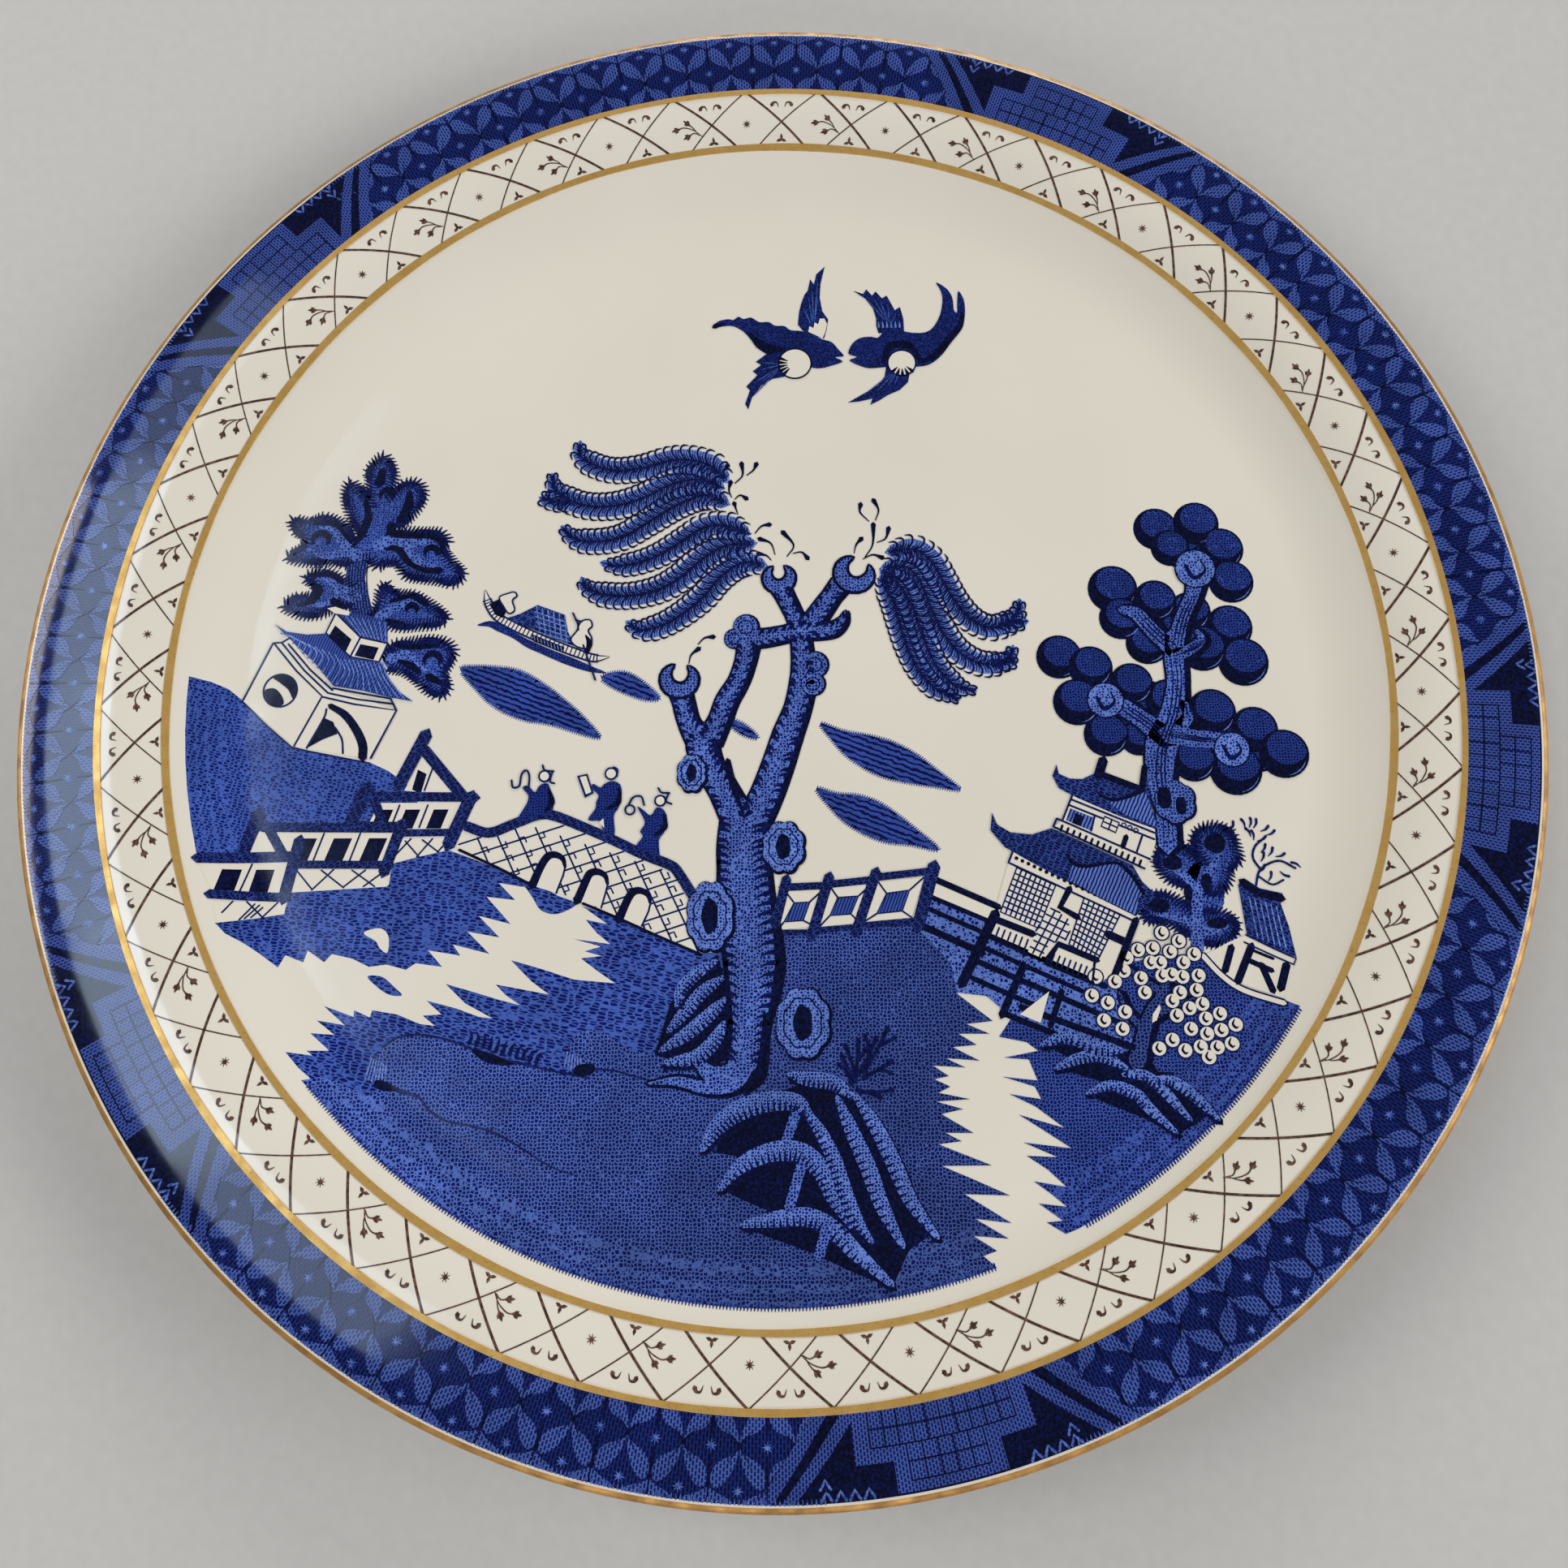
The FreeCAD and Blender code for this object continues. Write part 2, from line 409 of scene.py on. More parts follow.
def gold(name, bright, dull, roughness):
    """Gilding banded on by hand, a little thin and worn in places."""
    material = bpy.data.materials.new(name)
    nodes = Nodes(material)
    where = nodes.millimetres()
    drift = nodes.spread(nodes.noise(where, 0.35, 4.0), 0.35, 0.65)
    colour = nodes.mix(drift, linear(*bright), linear(*dull))
    wear = nodes.spread(nodes.noise(where, 2.6, 3.0), 0.62, 0.70)
    colour = nodes.mix(nodes.math("MULTIPLY", wear, 0.5), colour, linear(146, 110, 60))
    nodes.put(nodes.shader.inputs["Base Color"], colour)
    nodes.shader.inputs["Metallic"].default_value = 0.5
    nodes.put(nodes.shader.inputs["Roughness"], nodes.spread(drift, 0, 1, roughness, roughness + 0.12))
    brush = nodes.noise(where, 1.4, 2.0)
    bump = nodes.add("Bump", Height=brush, Strength=0.4, Distance=0.00004)
    nodes.put(nodes.shader.inputs["Normal"], bump.outputs[0])
    return material


WHITE = white_china()
GOLD = gold("burnished_gold", (234, 188, 108), (212, 164, 84), 0.3)
# The lip's gold is a darker copy of the bands' gold: painted shade that dims the lip. It is also rougher.
EDGE_GOLD_PAINTED_SHADE = gold("edge_gold_with_painted_shade", (196, 148, 78), (156, 112, 56), 0.46)
NAVY = ink("cobalt_solid", (2, 4, 27), (10, 19, 69), grain(0.5), 0.3)
NAVY_LEAF = ink("cobalt_leaf_line", (3, 8, 54), (14, 28, 96), grain(0.5), 0.3)
DEEP_LINE = ink("cobalt_fine_line", (7, 19, 73), (26, 46, 112), grain(0.5), 0.3)
DEEP = ink("cobalt_deep_hatch", (2, 7, 56), (22, 39, 104), outward_dashes(1.3, 0.55), 0.5)
PETAL = ink("cobalt_petal_hatch", (9, 22, 87), (71, 93, 164), outward_dashes(0.9, 0.52), 0.58)
BLOCK = ink("cobalt_fret_hatch", (9, 20, 85), (64, 85, 156), outward_dashes(0.8, 0.5), 0.56)
LIGHT = ink("cobalt_light_fleck", (43, 65, 144), (100, 125, 198), grain(0.5), 0.5)
PALE = ink("cobalt_pale_line", (79, 104, 183), (129, 154, 220), grain(0.5), 0.5)
WOVEN = ink("cobalt_woven", (3, 7, 50), (43, 63, 139), network(0.42, 30, 2.6), 0.28)
FOLIAGE = ink("cobalt_foliage", (10, 26, 102), (72, 99, 179), network(0.5), 0.42)
FOLIAGE_DARK = ink("cobalt_dark_foliage", (5, 15, 75), (41, 63, 144), network(0.5), 0.36)
FROND = ink("cobalt_frond", (21, 41, 121), (105, 132, 206), network(0.42), 0.56)
BARK = ink("cobalt_bark", (9, 24, 98), (96, 123, 202), network(0.56), 0.44)
BARK_LIGHT = ink("cobalt_pale_bark", (12, 30, 106), (108, 136, 212), network(0.52), 0.52)
BALL = ink("cobalt_round_foliage", (3, 13, 71), (50, 74, 156), network(0.5), 0.34)
BIRD = ink("cobalt_bird", (2, 7, 50), (31, 50, 129), network(0.34, 20, 1.8), 0.24)
BIRD_LINE = ink("cobalt_feather_line", (45, 71, 146), (83, 112, 183), grain(0.5), 0.5)
HILL = ink("cobalt_hill", (7, 26, 102), (69, 95, 175), network(0.5, -12, 1.8), 0.46)
SHORE = ink("cobalt_far_shore", (7, 22, 98), (71, 97, 179), network(0.5, -4, 2.6), 0.42)
# The near water's ink darkens towards the lower right.
WATER = ink("cobalt_near_water", (7, 20, 94), (72, 99, 183), network(0.5, -12, 3.0), 0.40,
            (-30, 10, 50, 0.75))
ISLAND = ink("cobalt_island", (3, 11, 67), (53, 76, 158), lines(-21, 0.95, 1.2), 0.38)
ISLAND_EDGE = ink("cobalt_island_edge", (17, 35, 108), (72, 97, 177), grain(0.6), 0.5)
# The foreground's ink darkens towards the lower right.
FORE = ink("cobalt_foreground", (9, 24, 102), (91, 117, 196), network(0.62), 0.42,
           (-40, 0, 60, 0.58))
FORE_EDGE = ink("cobalt_foreground_edge", (9, 22, 94), (43, 65, 146), grain(0.6), 0.5)
LAND = ink("cobalt_right_land", (5, 17, 83), (67, 91, 171), network(0.58), 0.40)
PATH = ink("cobalt_path", (5, 19, 94), (98, 125, 202), network(0.64), 0.40)
ROOF = ink("cobalt_roof", (10, 26, 98), (62, 86, 162), lines(70, 0.5), 0.4)
ROOF_DARK = ink("cobalt_dark_roof", (3, 8, 58), (53, 76, 154), network(0.42, -25, 2.6), 0.34)
ROOF_LINES = ink("cobalt_roof_lines", (9, 22, 87), (98, 123, 198), lines(65, 0.62), 0.4)
SEPIA = ink("sepia_line", (72, 48, 38), (112, 84, 68), grain(0.8), 0.4)


# ---------------------------------------------------------------- plan shapes

def as_points(points):
    return np.array(points, dtype=float).reshape(-1, 2)


def smooth(points, closed=False, steps=5):
    """A Catmull-Rom curve through the points."""
    knots = as_points(points)
    count = len(knots)
    if closed:
        before, after = np.roll(knots, 1, 0), np.roll(knots, -1, 0)
        beyond = np.roll(knots, -2, 0)
        spans = range(count)
    else:
        before = np.vstack((2 * knots[:1] - knots[1:2], knots[:-1]))
        after = np.vstack((knots[1:], 2 * knots[-1:] - knots[-2:-1]))
        beyond = np.vstack((after[1:], after[-1:]))
        spans = range(count - 1)
    out = []
    for index in spans:
        p0, p1, p2, p3 = before[index], knots[index], after[index], beyond[index]
        for step in range(steps):
            t = step / steps
            out.append(0.5 * (2 * p1 + (p2 - p0) * t + (2 * p0 - 5 * p1 + 4 * p2 - p3) * t * t
                              + (3 * p1 - p0 - 3 * p2 + p3) * t ** 3))
    if not closed:
        out.append(knots[-1])
    return np.array(out)


def arc(x, y, radius, angles):
    return [(x + radius * cos(angle), y + radius * sin(angle)) for angle in angles]


def circle(x, y, radius, count):
    return arc(x, y, radius, [360 * k / count for k in range(count)])


def polar(radius, angle):
    return (radius * cos(angle), radius * sin(angle))


def rim_arc(radius, start, end):
    """Points along a circle about the plate's centre."""
    count = max(1, math.ceil(abs(end - start) / RIM_STEP))
    return [polar(radius, start + (end - start) * k / count) for k in range(count + 1)]


def subdivided(points, step, closed=True):
    """Adds points so that no side is longer than step."""
    points = as_points(points)
    out = []
    count = len(points) if closed else len(points) - 1
    for index in range(count):
        start, end = points[index], points[(index + 1) % len(points)]
        parts = max(1, math.ceil(np.linalg.norm(end - start) / step))
        for part in range(parts):
            out.append(start + (end - start) * part / parts)
    if not closed:
        out.append(points[-1])
    return np.array(out)


def inside(points, outline):
    """Which points lie inside a closed outline."""
    x, y = points[:, 0], points[:, 1]
    result = np.zeros(len(points), bool)
    ends = np.roll(outline, -1, 0)
    for (x0, y0), (x1, y1) in zip(outline, ends):
        if y0 == y1:
            continue
        crosses = (y0 > y) != (y1 > y)
        result ^= crosses & (x < (x1 - x0) * (y - y0) / (y1 - y0) + x0)
    return result


def curved_grid(outline):
    """Grid points within an outline, where the plate's top is curved."""
    low, high = outline.min(0), outline.max(0)
    grid = np.stack(np.meshgrid(np.arange(low[0], high[0], CURVED_STEP),
                                np.arange(low[1], high[1], CURVED_STEP)), -1).reshape(-1, 2)
    grid = grid[radii(grid) > CURVED_FROM]
    return grid[inside(grid, outline)]


def facing_up(points, triangles):
    """The triangles that have an area, each walked counter-clockwise."""
    out = []
    for corners in triangles:
        a, b, c = (points[corner] for corner in corners)
        area = (b[0] - a[0]) * (c[1] - a[1]) - (b[1] - a[1]) * (c[0] - a[0])
        if abs(area) > 1e-7:
            out.append(tuple(corners) if area > 0 else tuple(reversed(corners)))
    return out


def unit(vector):
    return vector / max(np.linalg.norm(vector), TINY)


def unit_rows(vectors):
    return vectors / np.maximum(np.linalg.norm(vectors, axis=1), TINY)[:, None]


def headings(path):
    """Unit vectors along an open path, at each of its points."""
    return unit_rows(np.gradient(path, axis=0))


def left_of(way):
    """A vector, or rows of them, turned a quarter to the left."""
    return np.stack((-way[..., 1], way[..., 0]), -1)


def distances(path):
    """How far along a path each of its points lies."""
    return np.concatenate(([0], np.cumsum(np.linalg.norm(np.diff(path, axis=0), axis=1))))


def shared_out(widths, count):
    """Widths at this many points, spread evenly over the given ones."""
    return np.interp(np.linspace(0, 1, count), np.linspace(0, 1, len(widths)), widths)


class Print:
    """One piece of the decoration: flat shapes laid on the plate as thin slabs."""

    def __init__(self, name, slot, stands_for):
        self.name = name
        self.slot = slot
        self.stands_for = stands_for
        self.inks = []
        self.points = []
        self.faces = []
        self.ink_numbers = []
        self.normals = []
        self.slabs = 0

    def ink_number(self, material):
        if material not in self.inks:
            self.inks.append(material)
        return self.inks.index(material)

    def slab(self, points, faces, material, level):
        """Raises flat faces into a closed slab on the plate's surface."""
        points = as_points(points)
        count = len(points)
        height = top_height(points)
        lift = level * LEVEL_HEIGHT + (self.slabs % STAGGER) * STAGGER_STEP
        first = sum(len(block) for block in self.points)
        self.points.append(np.column_stack((points, height + lift)))
        self.points.append(np.column_stack((points, height - INK_SINK)))
        up = top_normals(points)
        edges = {(face[k], face[(k + 1) % len(face)]) for face in faces for k in range(len(face))}
        for face in faces:
            self.faces.append([first + corner for corner in face])
            self.normals.extend(up[corner] for corner in face)
            self.faces.append([first + count + corner for corner in reversed(face)])
            self.normals.extend(-up[corner] for corner in reversed(face))
        walls = [edge for edge in edges if (edge[1], edge[0]) not in edges]
        for start, end in sorted(walls):
            self.faces.append([first + end, first + start, first + count + start,
                               first + count + end])
            side = points[end] - points[start]
            self.normals.extend([unit(np.array((side[1], -side[0], 0.0)))] * 4)
        self.ink_numbers.extend([self.ink_number(material)] * (2 * len(faces) + len(walls)))
        self.slabs += 1

    def fill(self, outline, material, level, holes=()):
        """A flat shape, cut into triangles that are small where the plate's top is curved."""
        loops = [as_points(loop) for loop in (outline, *holes)]
        curved = radii(loops[0]).max() > CURVED_FROM
        if curved:
            loops = [subdivided(loop, CURVED_STEP) for loop in loops]
        knots, edges = [], []
        for loop in loops:
            first = len(knots)
            knots.extend(Vector(point) for point in loop)
            edges.extend((first + k, first + (k + 1) % len(loop)) for k in range(len(loop)))
        if curved:
            knots.extend(Vector(point) for point in curved_grid(loops[0]))
        points, _, faces, *_ = delaunay_2d_cdt(knots, edges, [], 1, 1e-5)
        points = as_points([tuple(point) for point in points])
        middles = np.array([points[list(face)].mean(0) for face in faces])
        keep = np.ones(len(faces), bool)
        for hole in loops[1:]:
            keep &= ~inside(middles, hole)
        faces = facing_up(points, [face for face, kept in zip(faces, keep) if kept])
        if faces:
            self.slab(points, faces, material, level)

    def blob(self, points, material, level, steps=5):
        """A flat shape with a smooth closed outline."""
        self.fill(smooth(points, True, steps), material, level)

    def stroke(self, path, width, material, level, closed=False):
        """A line of one width, or of widths shared out evenly along it."""
        path = as_points(path)
        if radii(path).max() > CURVED_FROM:
            path = subdivided(path, CURVED_STEP, closed)
        if closed:
            along = unit_rows(np.roll(path, -1, 0) - np.roll(path, 1, 0))
        else:
            along = headings(path)
        count = len(path)
        half = shared_out(np.atleast_1d(np.array(width, dtype=float)), count) / 2
        aside = left_of(along) * half[:, None]
        points = np.vstack((path + aside, path - aside))
        spans = count if closed else count - 1
        faces = [(count + k, count + (k + 1) % count, (k + 1) % count, k) for k in range(spans)]
        if not closed:
            points = np.vstack((points, path[:1] - along[:1] * half[0], path[-1:] + along[-1:] * half[-1]))
            faces.append((2 * count, count, 0))
            faces.append((2 * count + 1, count - 1, 2 * count - 1))
        self.slab(points, faces, material, level)

    def curve(self, points, width, material, level, steps=5):
        """A line along a smooth curve through the points."""
        self.stroke(smooth(points, False, steps), width, material, level)

    def build(self):
        """Makes the mesh object, which stands for its CAD nodes and rides on root."""
        mesh = bpy.data.meshes.new(self.name)
        points = np.vstack(self.points) * MM
        mesh.from_pydata(points.tolist(), [], self.faces)
        for material in self.inks:
            mesh.materials.append(material)
        mesh.polygons.foreach_set("material_index", self.ink_numbers)
        mesh.polygons.foreach_set("use_smooth", [True] * len(self.faces))
        mesh.normals_split_custom_set([tuple(normal) for normal in self.normals])
        piece = bpy.data.objects.new(self.name, mesh)
        bpy.context.collection.objects.link(piece)
        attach(piece, "root")
        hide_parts(*self.stands_for)


# --------------------------------------------------------------- solid pieces

def revolved(name, loop, material, stands_for):
    """A closed solid of revolution from a closed loop of (r, z) points."""
    steps = ROUND_STEPS
    points, rings = [], []
    for r, z in loop:
        if r < 1e-6:
            rings.append([len(points)] * steps)
            points.append((0.0, 0.0, z * MM))
            continue
        rings.append(list(range(len(points), len(points) + steps)))
        points.extend((r * cos(360 * k / steps) * MM, r * sin(360 * k / steps) * MM, z * MM)
                      for k in range(steps))
    faces = []
    for index, ring in enumerate(rings):
        other = rings[(index + 1) % len(rings)]
        if ring[0] == ring[1] and other[0] == other[1]:
            continue
        for k in range(steps):
            face = [ring[k], other[k], other[(k + 1) % steps], ring[(k + 1) % steps]]
            faces.append([corner for place, corner in enumerate(face) if corner not in face[:place]])
    mesh = bpy.data.meshes.new(name)
    mesh.from_pydata(points, [], faces)
    mesh.polygons.foreach_set("use_smooth", [True] * len(faces))
    mesh.set_sharp_from_angle(angle=math.radians(SHARP_ANGLE))
    mesh.materials.append(material)
    piece = bpy.data.objects.new(name, mesh)
    bpy.context.collection.objects.link(piece)
    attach(piece, "root")
    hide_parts(*stands_for)


def glazed_plate():
    """The clear glaze over white china, in two shells that stop at the foot's strip."""
    inner, inner_start, inner_end = walk_profile(GLAZE_THICKNESS)
    upper = OUTLINE[:STRIP_START + 1] + inner[:inner_start + 1][::-1]
    lower = OUTLINE[STRIP_END:] + inner[inner_end:][::-1]
    revolved("glazed_china", upper, WHITE, ["clear_glaze"])
    revolved("glazed_base", lower, WHITE, ["clear_glaze"])


def gilt_edge():
    """Gilding over the top of the lip."""
    start = next(index for index, point in enumerate(OUTLINE) if point[0] >= EDGE_LINE_START)
    end = LIP_INDEX + 2
    lip_centre = (PLATE_RADIUS - LIP_RADIUS, OUTLINE[LIP_INDEX][1])
    covered = OUTLINE[start:end]

    def moved(distance):
        out = []
        for r, z in covered:
            away = unit(np.array((r - lip_centre[0], z - lip_centre[1])))
            out.append((r + away[0] * distance, z + away[1] * distance))
        return out
    # The lip's gold is painted darker than the bands' gold, as painted shade.
    revolved("gilt_edge_band", moved(GILT_RAISED) + moved(-GILT_SUNK)[::-1], EDGE_GOLD_PAINTED_SHADE,
             ["gilt_edge_line"])


def gilt_band(name, span, node, phase):
    """A hand-banded gold line, whose edges wander a little."""
    band = Print(name, "gilding", [node])
    count = ROUND_STEPS
    angles = [360 * k / count for k in range(count)]
    wander = [0.05 * sin(7 * a + phase) + 0.035 * sin(23 * a + 2 * phase) for a in angles]
    inner = [polar(span[0] + w, a) for a, w in zip(angles, wander)]
    outer = [polar(span[1] - w * 0.7, a) for a, w in zip(angles, wander)]
    faces = [(k, count + k, count + (k + 1) % count, (k + 1) % count) for k in range(count)]
    band.slab(inner + outer, faces, GOLD, 8)
    band.build()


# --------------------------------------------------------------- blue border

def rim_shape(centre, corners):
    """A closed shape from (degrees from centre, radius) corners; its sides follow the rim."""
    points = []
    for (u0, r0), (u1, r1) in zip(corners, corners[1:] + corners[:1]):
        count = max(1, math.ceil(abs(u1 - u0) / RIM_STEP))
        points.extend(polar(r0 + (r1 - r0) * k / count, centre + u0 + (u1 - u0) * k / count)
                      for k in range(count))
    return points


def mirrored(corners, side):
    return [(side * u, r) for u, r in corners]


def star(piece, radius, angle, size, material, level):
    """A small eight-pointed star at a polar place."""
    x, y = polar(radius, angle)
    outline = []
    for k in range(16):
        reach = size if k % 2 == 0 else size * 0.35
        turn = angle + 22.5 * k
        outline.append((x + reach * cos(turn), y + reach * sin(turn)))
    piece.fill(outline, material, level)


def leaf(piece, node, outline):
    """A hatched leaf drawn around a node of the petal pattern."""
    corners = [polar(r, node + u) for u, r in outline]
    piece.fill(smooth(corners, True, 4), PETAL, 3)


def petal_cell(piece, node, pitch, end):
    """One node of the petal pattern: leaves up and down, petals above, stars between."""
    half = pitch / 2
    for side in (-1, 1):
        upper = [(0.06, 123.95), (0.50, 124.9), (half * 0.72, 126.0), (half * 0.93, 127.6),
                 (half * 0.90, 129.1), (half * 0.72, 129.6), (half * 0.42, 128.6), (half * 0.12, 126.2)]
        lower = [(0.06, 123.1), (0.45, 122.3), (half * 0.74, 121.3), (half * 0.93, 119.5),
                 (half * 0.60, BORDER_START), (half * 0.34, 119.5), (half * 0.10, 121.4)]
        above = [(half - 0.06, 129.6), (half * 0.72, 130.2), (half * 0.30, 131.0), (half * 0.16, BORDER_END),
                 (half * 0.60, BORDER_END), (half * 0.88, BORDER_END), (half * 0.97, 130.8)]
        for shape, vein_end in ((upper, 126.6), (lower, 121.4)):
            leaf(piece, node, mirrored(shape, side))
            piece.stroke([polar(123.6, node), polar(vein_end, node + side * half * 0.45)],
                         (0.26, 0.05), NAVY, 4)
        leaf(piece, node, mirrored(above, side))
    star(piece, 129.9, node, 0.95, LIGHT, 2)
    if node + half < end:
        star(piece, 123.7, node + half, 0.95, LIGHT, 2)
        piece.stroke([polar(124.9, node + half), polar(131.6, node + half)], (0.12, 0.3, 0.12), NAVY, 5)
        piece.stroke([polar(119.5, node + half), polar(122.3, node + half)], (0.3, 0.1), NAVY, 5)


def petal_panel(number, start, end):
    """The petal pattern between two fret panels, tucked under both of them."""
    piece = Print(f"petal_border_{number}", "cobalt_print", ["petal_border_print"])
    ground = [(start, BORDER_START), (end, BORDER_START), (end, BORDER_END), (start, BORDER_END)]
    piece.fill(rim_shape(0, ground), DEEP, 1)
    count = round((end - start) / PETAL_PITCH)
    pitch = (end - start) / count
    for index in range(count):
        petal_cell(piece, start + (index + 0.5) * pitch, pitch, end)
    teeth = int((end - start) / COMB_PITCH)
    for index in range(teeth):
        angle = start + (index + 0.5) * (end - start) / teeth
        piece.stroke([polar(130.95, angle), polar(BORDER_END, angle)], (0.10, 0.30), LIGHT, 6)
    piece.build()


def fret_block(piece, centre):
    """The stepped light block, with its dark steps and its grid."""
    foot, tower = 6.45, 3.77
    shoulder, top = 126.75, 131.4
    steps = [(-foot, BORDER_START), (foot, BORDER_START), (foot, shoulder), (tower, shoulder), (tower, top),
             (-tower, top), (-tower, shoulder), (-foot, shoulder)]
    piece.fill(rim_shape(centre, steps), BLOCK, 6)

    low, middle, high = 119.5, 124.6, 129.8
    narrow, wide = 2.75, 5.25
    for u in (-narrow, -1.65, -0.55, 0.55, 1.65, narrow):
        piece.stroke([polar(middle, centre + u), polar(high, centre + u)], 0.20, NAVY, 7)
    for k in range(11):
        u = -wide + 1.05 * k
        piece.stroke([polar(low, centre + u), polar(middle, centre + u)], 0.20, NAVY, 7)
    for r, reach in ((high, narrow), (127.1, narrow), (middle, wide), (122.0, wide)):
        piece.stroke(rim_arc(r, centre - reach, centre + reach), 0.22, NAVY, 7)


def fret_side(piece, centre, side):
    """The two light diagonals beside the block, and the scaly ground within them."""
    inner = [(5.95, BORDER_START), (7.20, BORDER_START), (11.6, BORDER_END), (10.7, BORDER_END)]
    outer = [(8.20, BORDER_START), (9.30, BORDER_START), (13.3, BORDER_END), (12.2, BORDER_END)]
    for stripe in (inner, outer):
        piece.fill(rim_shape(centre, mirrored(stripe, side)), BLOCK, 5)
    rows, row_pitch, mark_pitch, lean = 7, 1.68, 0.95, 0.356
    for row in range(rows):
        r = 120.6 + row_pitch * row
        left = 8.25 if r < 129.2 else 5.35
        right = 5.95 + (r - BORDER_START) * lean - 0.3
        for index in range(int((right - left) / mark_pitch) + 1):
            u = left + 0.35 + index * mark_pitch
            if u <= right - 0.3:
                mark = [(u - 0.36, r + 0.75), (u, r - 0.65), (u + 0.36, r + 0.75)]
                piece.stroke([polar(v, centre + side * w) for w, v in mark], 0.42, LIGHT, 5)


def fret_panel(number, centre):
    """A stepped fret panel with a dark ground."""
    piece = Print(f"fret_border_{number}", "cobalt_print", ["fret_border_print"])
    ground = [(-9.3, BORDER_START), (9.3, BORDER_START), (13.4, BORDER_END), (-13.4, BORDER_END)]
    piece.fill(rim_shape(centre, ground), NAVY, 4)
    fret_block(piece, centre)
    for side in (-1, 1):
        fret_side(piece, centre, side)
    piece.build()


def build_border():
    following = FRET_CENTRES[1:] + (FRET_CENTRES[0] + 360,)
    for index, (centre, after) in enumerate(zip(FRET_CENTRES, following)):
        fret_panel(index + 1, centre)
        petal_panel(index + 1, centre + PETALS_START, after - PETALS_START)


# -------------------------------------------------------------- lattice band

def laid(angle):
    """Where an evenly spaced angle ends up: the transfer stretched as it was laid."""
    return angle + LAID_STRETCH * (1 - cos(angle - LAID_FROM))


def lattice_lines(piece, crossing):
    """The thick and the thin diagonal through one crossing."""
    parts, slope = 8, 0.54
    for side, width in ((1, 0.42), (-1, 0.22)):
        path = []
        for part in range(parts + 1):
            r = INNER_LINE[1] - 0.2 + part * (OUTER_LINE[0] + 0.4 - INNER_LINE[1]) / parts
            path.append(polar(r, laid(crossing) + side * slope * (r - CROSSING_RADIUS)))
        piece.stroke(path, width, SEPIA, 2)


def bud(piece, radius, angle, aim, petals, root, widths):
    """Small petals that spread about aim, in degrees, from a polar place."""
    x, y = polar(radius, angle)
    for turn, reach in petals:
        way = (cos(aim + turn), sin(aim + turn))
        piece.stroke([(x + way[0] * out, y + way[1] * out) for out in (-root, reach * 0.5, reach)], widths,
                     SEPIA, 2)


def sprig(piece, angle):
    """Three buds on curved stems."""
    centre = laid(angle)
    stems = (
        ((-2.35, 110.8), (-1.6, 112.1), (-0.7, 112.8), (-0.1, 112.6)),
        ((-1.95, 111.4), (-1.6, 112.5), (-1.2, 113.3)),
        ((-2.15, 111.0), (-1.6, 111.5), (-1.1, 111.1)),
    )
    for stem in stems:
        piece.curve([polar(r, centre + u) for u, r in stem], (0.14, 0.24), SEPIA, 2)
        last, end = stem[-2], stem[-1]
        start_at, end_at = polar(last[1], centre + last[0]), polar(end[1], centre + end[0])
        aim = math.degrees(math.atan2(end_at[1] - start_at[1], end_at[0] - start_at[0]))
        bud(piece, end[1], centre + end[0], aim, ((-38, 0.85), (0, 1.25), (38, 0.85)), 0.2, (0.25, 0.6, 0.1))


def commas_and_bud(piece, crossing):
    """Two curled commas outside a crossing and a little bud inside it."""
    centre = laid(crossing)
    for side in (-1, 1):
        curl = ((side * 0.95, 116.0), (side * 0.80, 116.5), (side * 0.48, 116.5), (side * 0.30, 115.6))
        piece.curve([polar(r, centre + u) for u, r in curl], (0.75, 0.5, 0.3, 0.08), SEPIA, 2)
    bud(piece, 109.3, centre, centre, ((-110, 1.0), (0, 1.0), (110, 1.0)), 0.0, (0.3, 0.55, 0.08))


def build_lattice():
    """The sepia lattice, in four quarters."""
    pitch = 360 / LATTICE_CROSSINGS
    for quarter in range(4):
        piece = Print(f"lattice_band_{quarter + 1}", "sepia_print", ["lattice_band_print"])
        for k in range(LATTICE_CROSSINGS):
            angle = FIRST_CROSSING + pitch * k
            if int(laid(angle) % 360 // 90) != quarter:
                continue
            lattice_lines(piece, angle)
            commas_and_bud(piece, angle)
            if k % 2:
                star(piece, 112.3, laid(angle + pitch / 2), 0.85, SEPIA, 2)
            else:
                sprig(piece, angle + pitch / 2)
        piece.build()


# ----------------------------------------------------------------- landscape

def motif(name):
    """A piece of the landscape, which stands for part of the scene print."""
    return Print("scene_" + name, "cobalt_print", ["landscape_print"])


def fringe(piece, path, reach, gap, lean, material, level, width):
    """Short leaning strokes along a path, on its left-hand side."""
    path = as_points(path)
    along = distances(path)
    for place in np.arange(gap / 2, along[-1], gap):
        index = min(int(np.searchsorted(along, place)), len(path) - 1)
        start, end = path[index - 1], path[index]
        way = unit(end - start)
        spot = start + way * (place - along[index - 1])
        out = left_of(way) * cos(lean) + way * sin(lean)
        bend = out * 0.6 + way * 0.15
        piece.stroke([spot - out * 0.55, spot + bend * reach * 0.5, spot + out * reach],
                     (width, width * 0.95, width * 0.4), material, level)


def clockwise(points):
    """The same closed shape, walked clockwise, so that its outside is on the left."""
    points = as_points(points)
    ends = np.roll(points, -1, 0)
    area = (points[:, 0] * ends[:, 1] - ends[:, 0] * points[:, 1]).sum()
    return points[::-1] if area > 0 else points


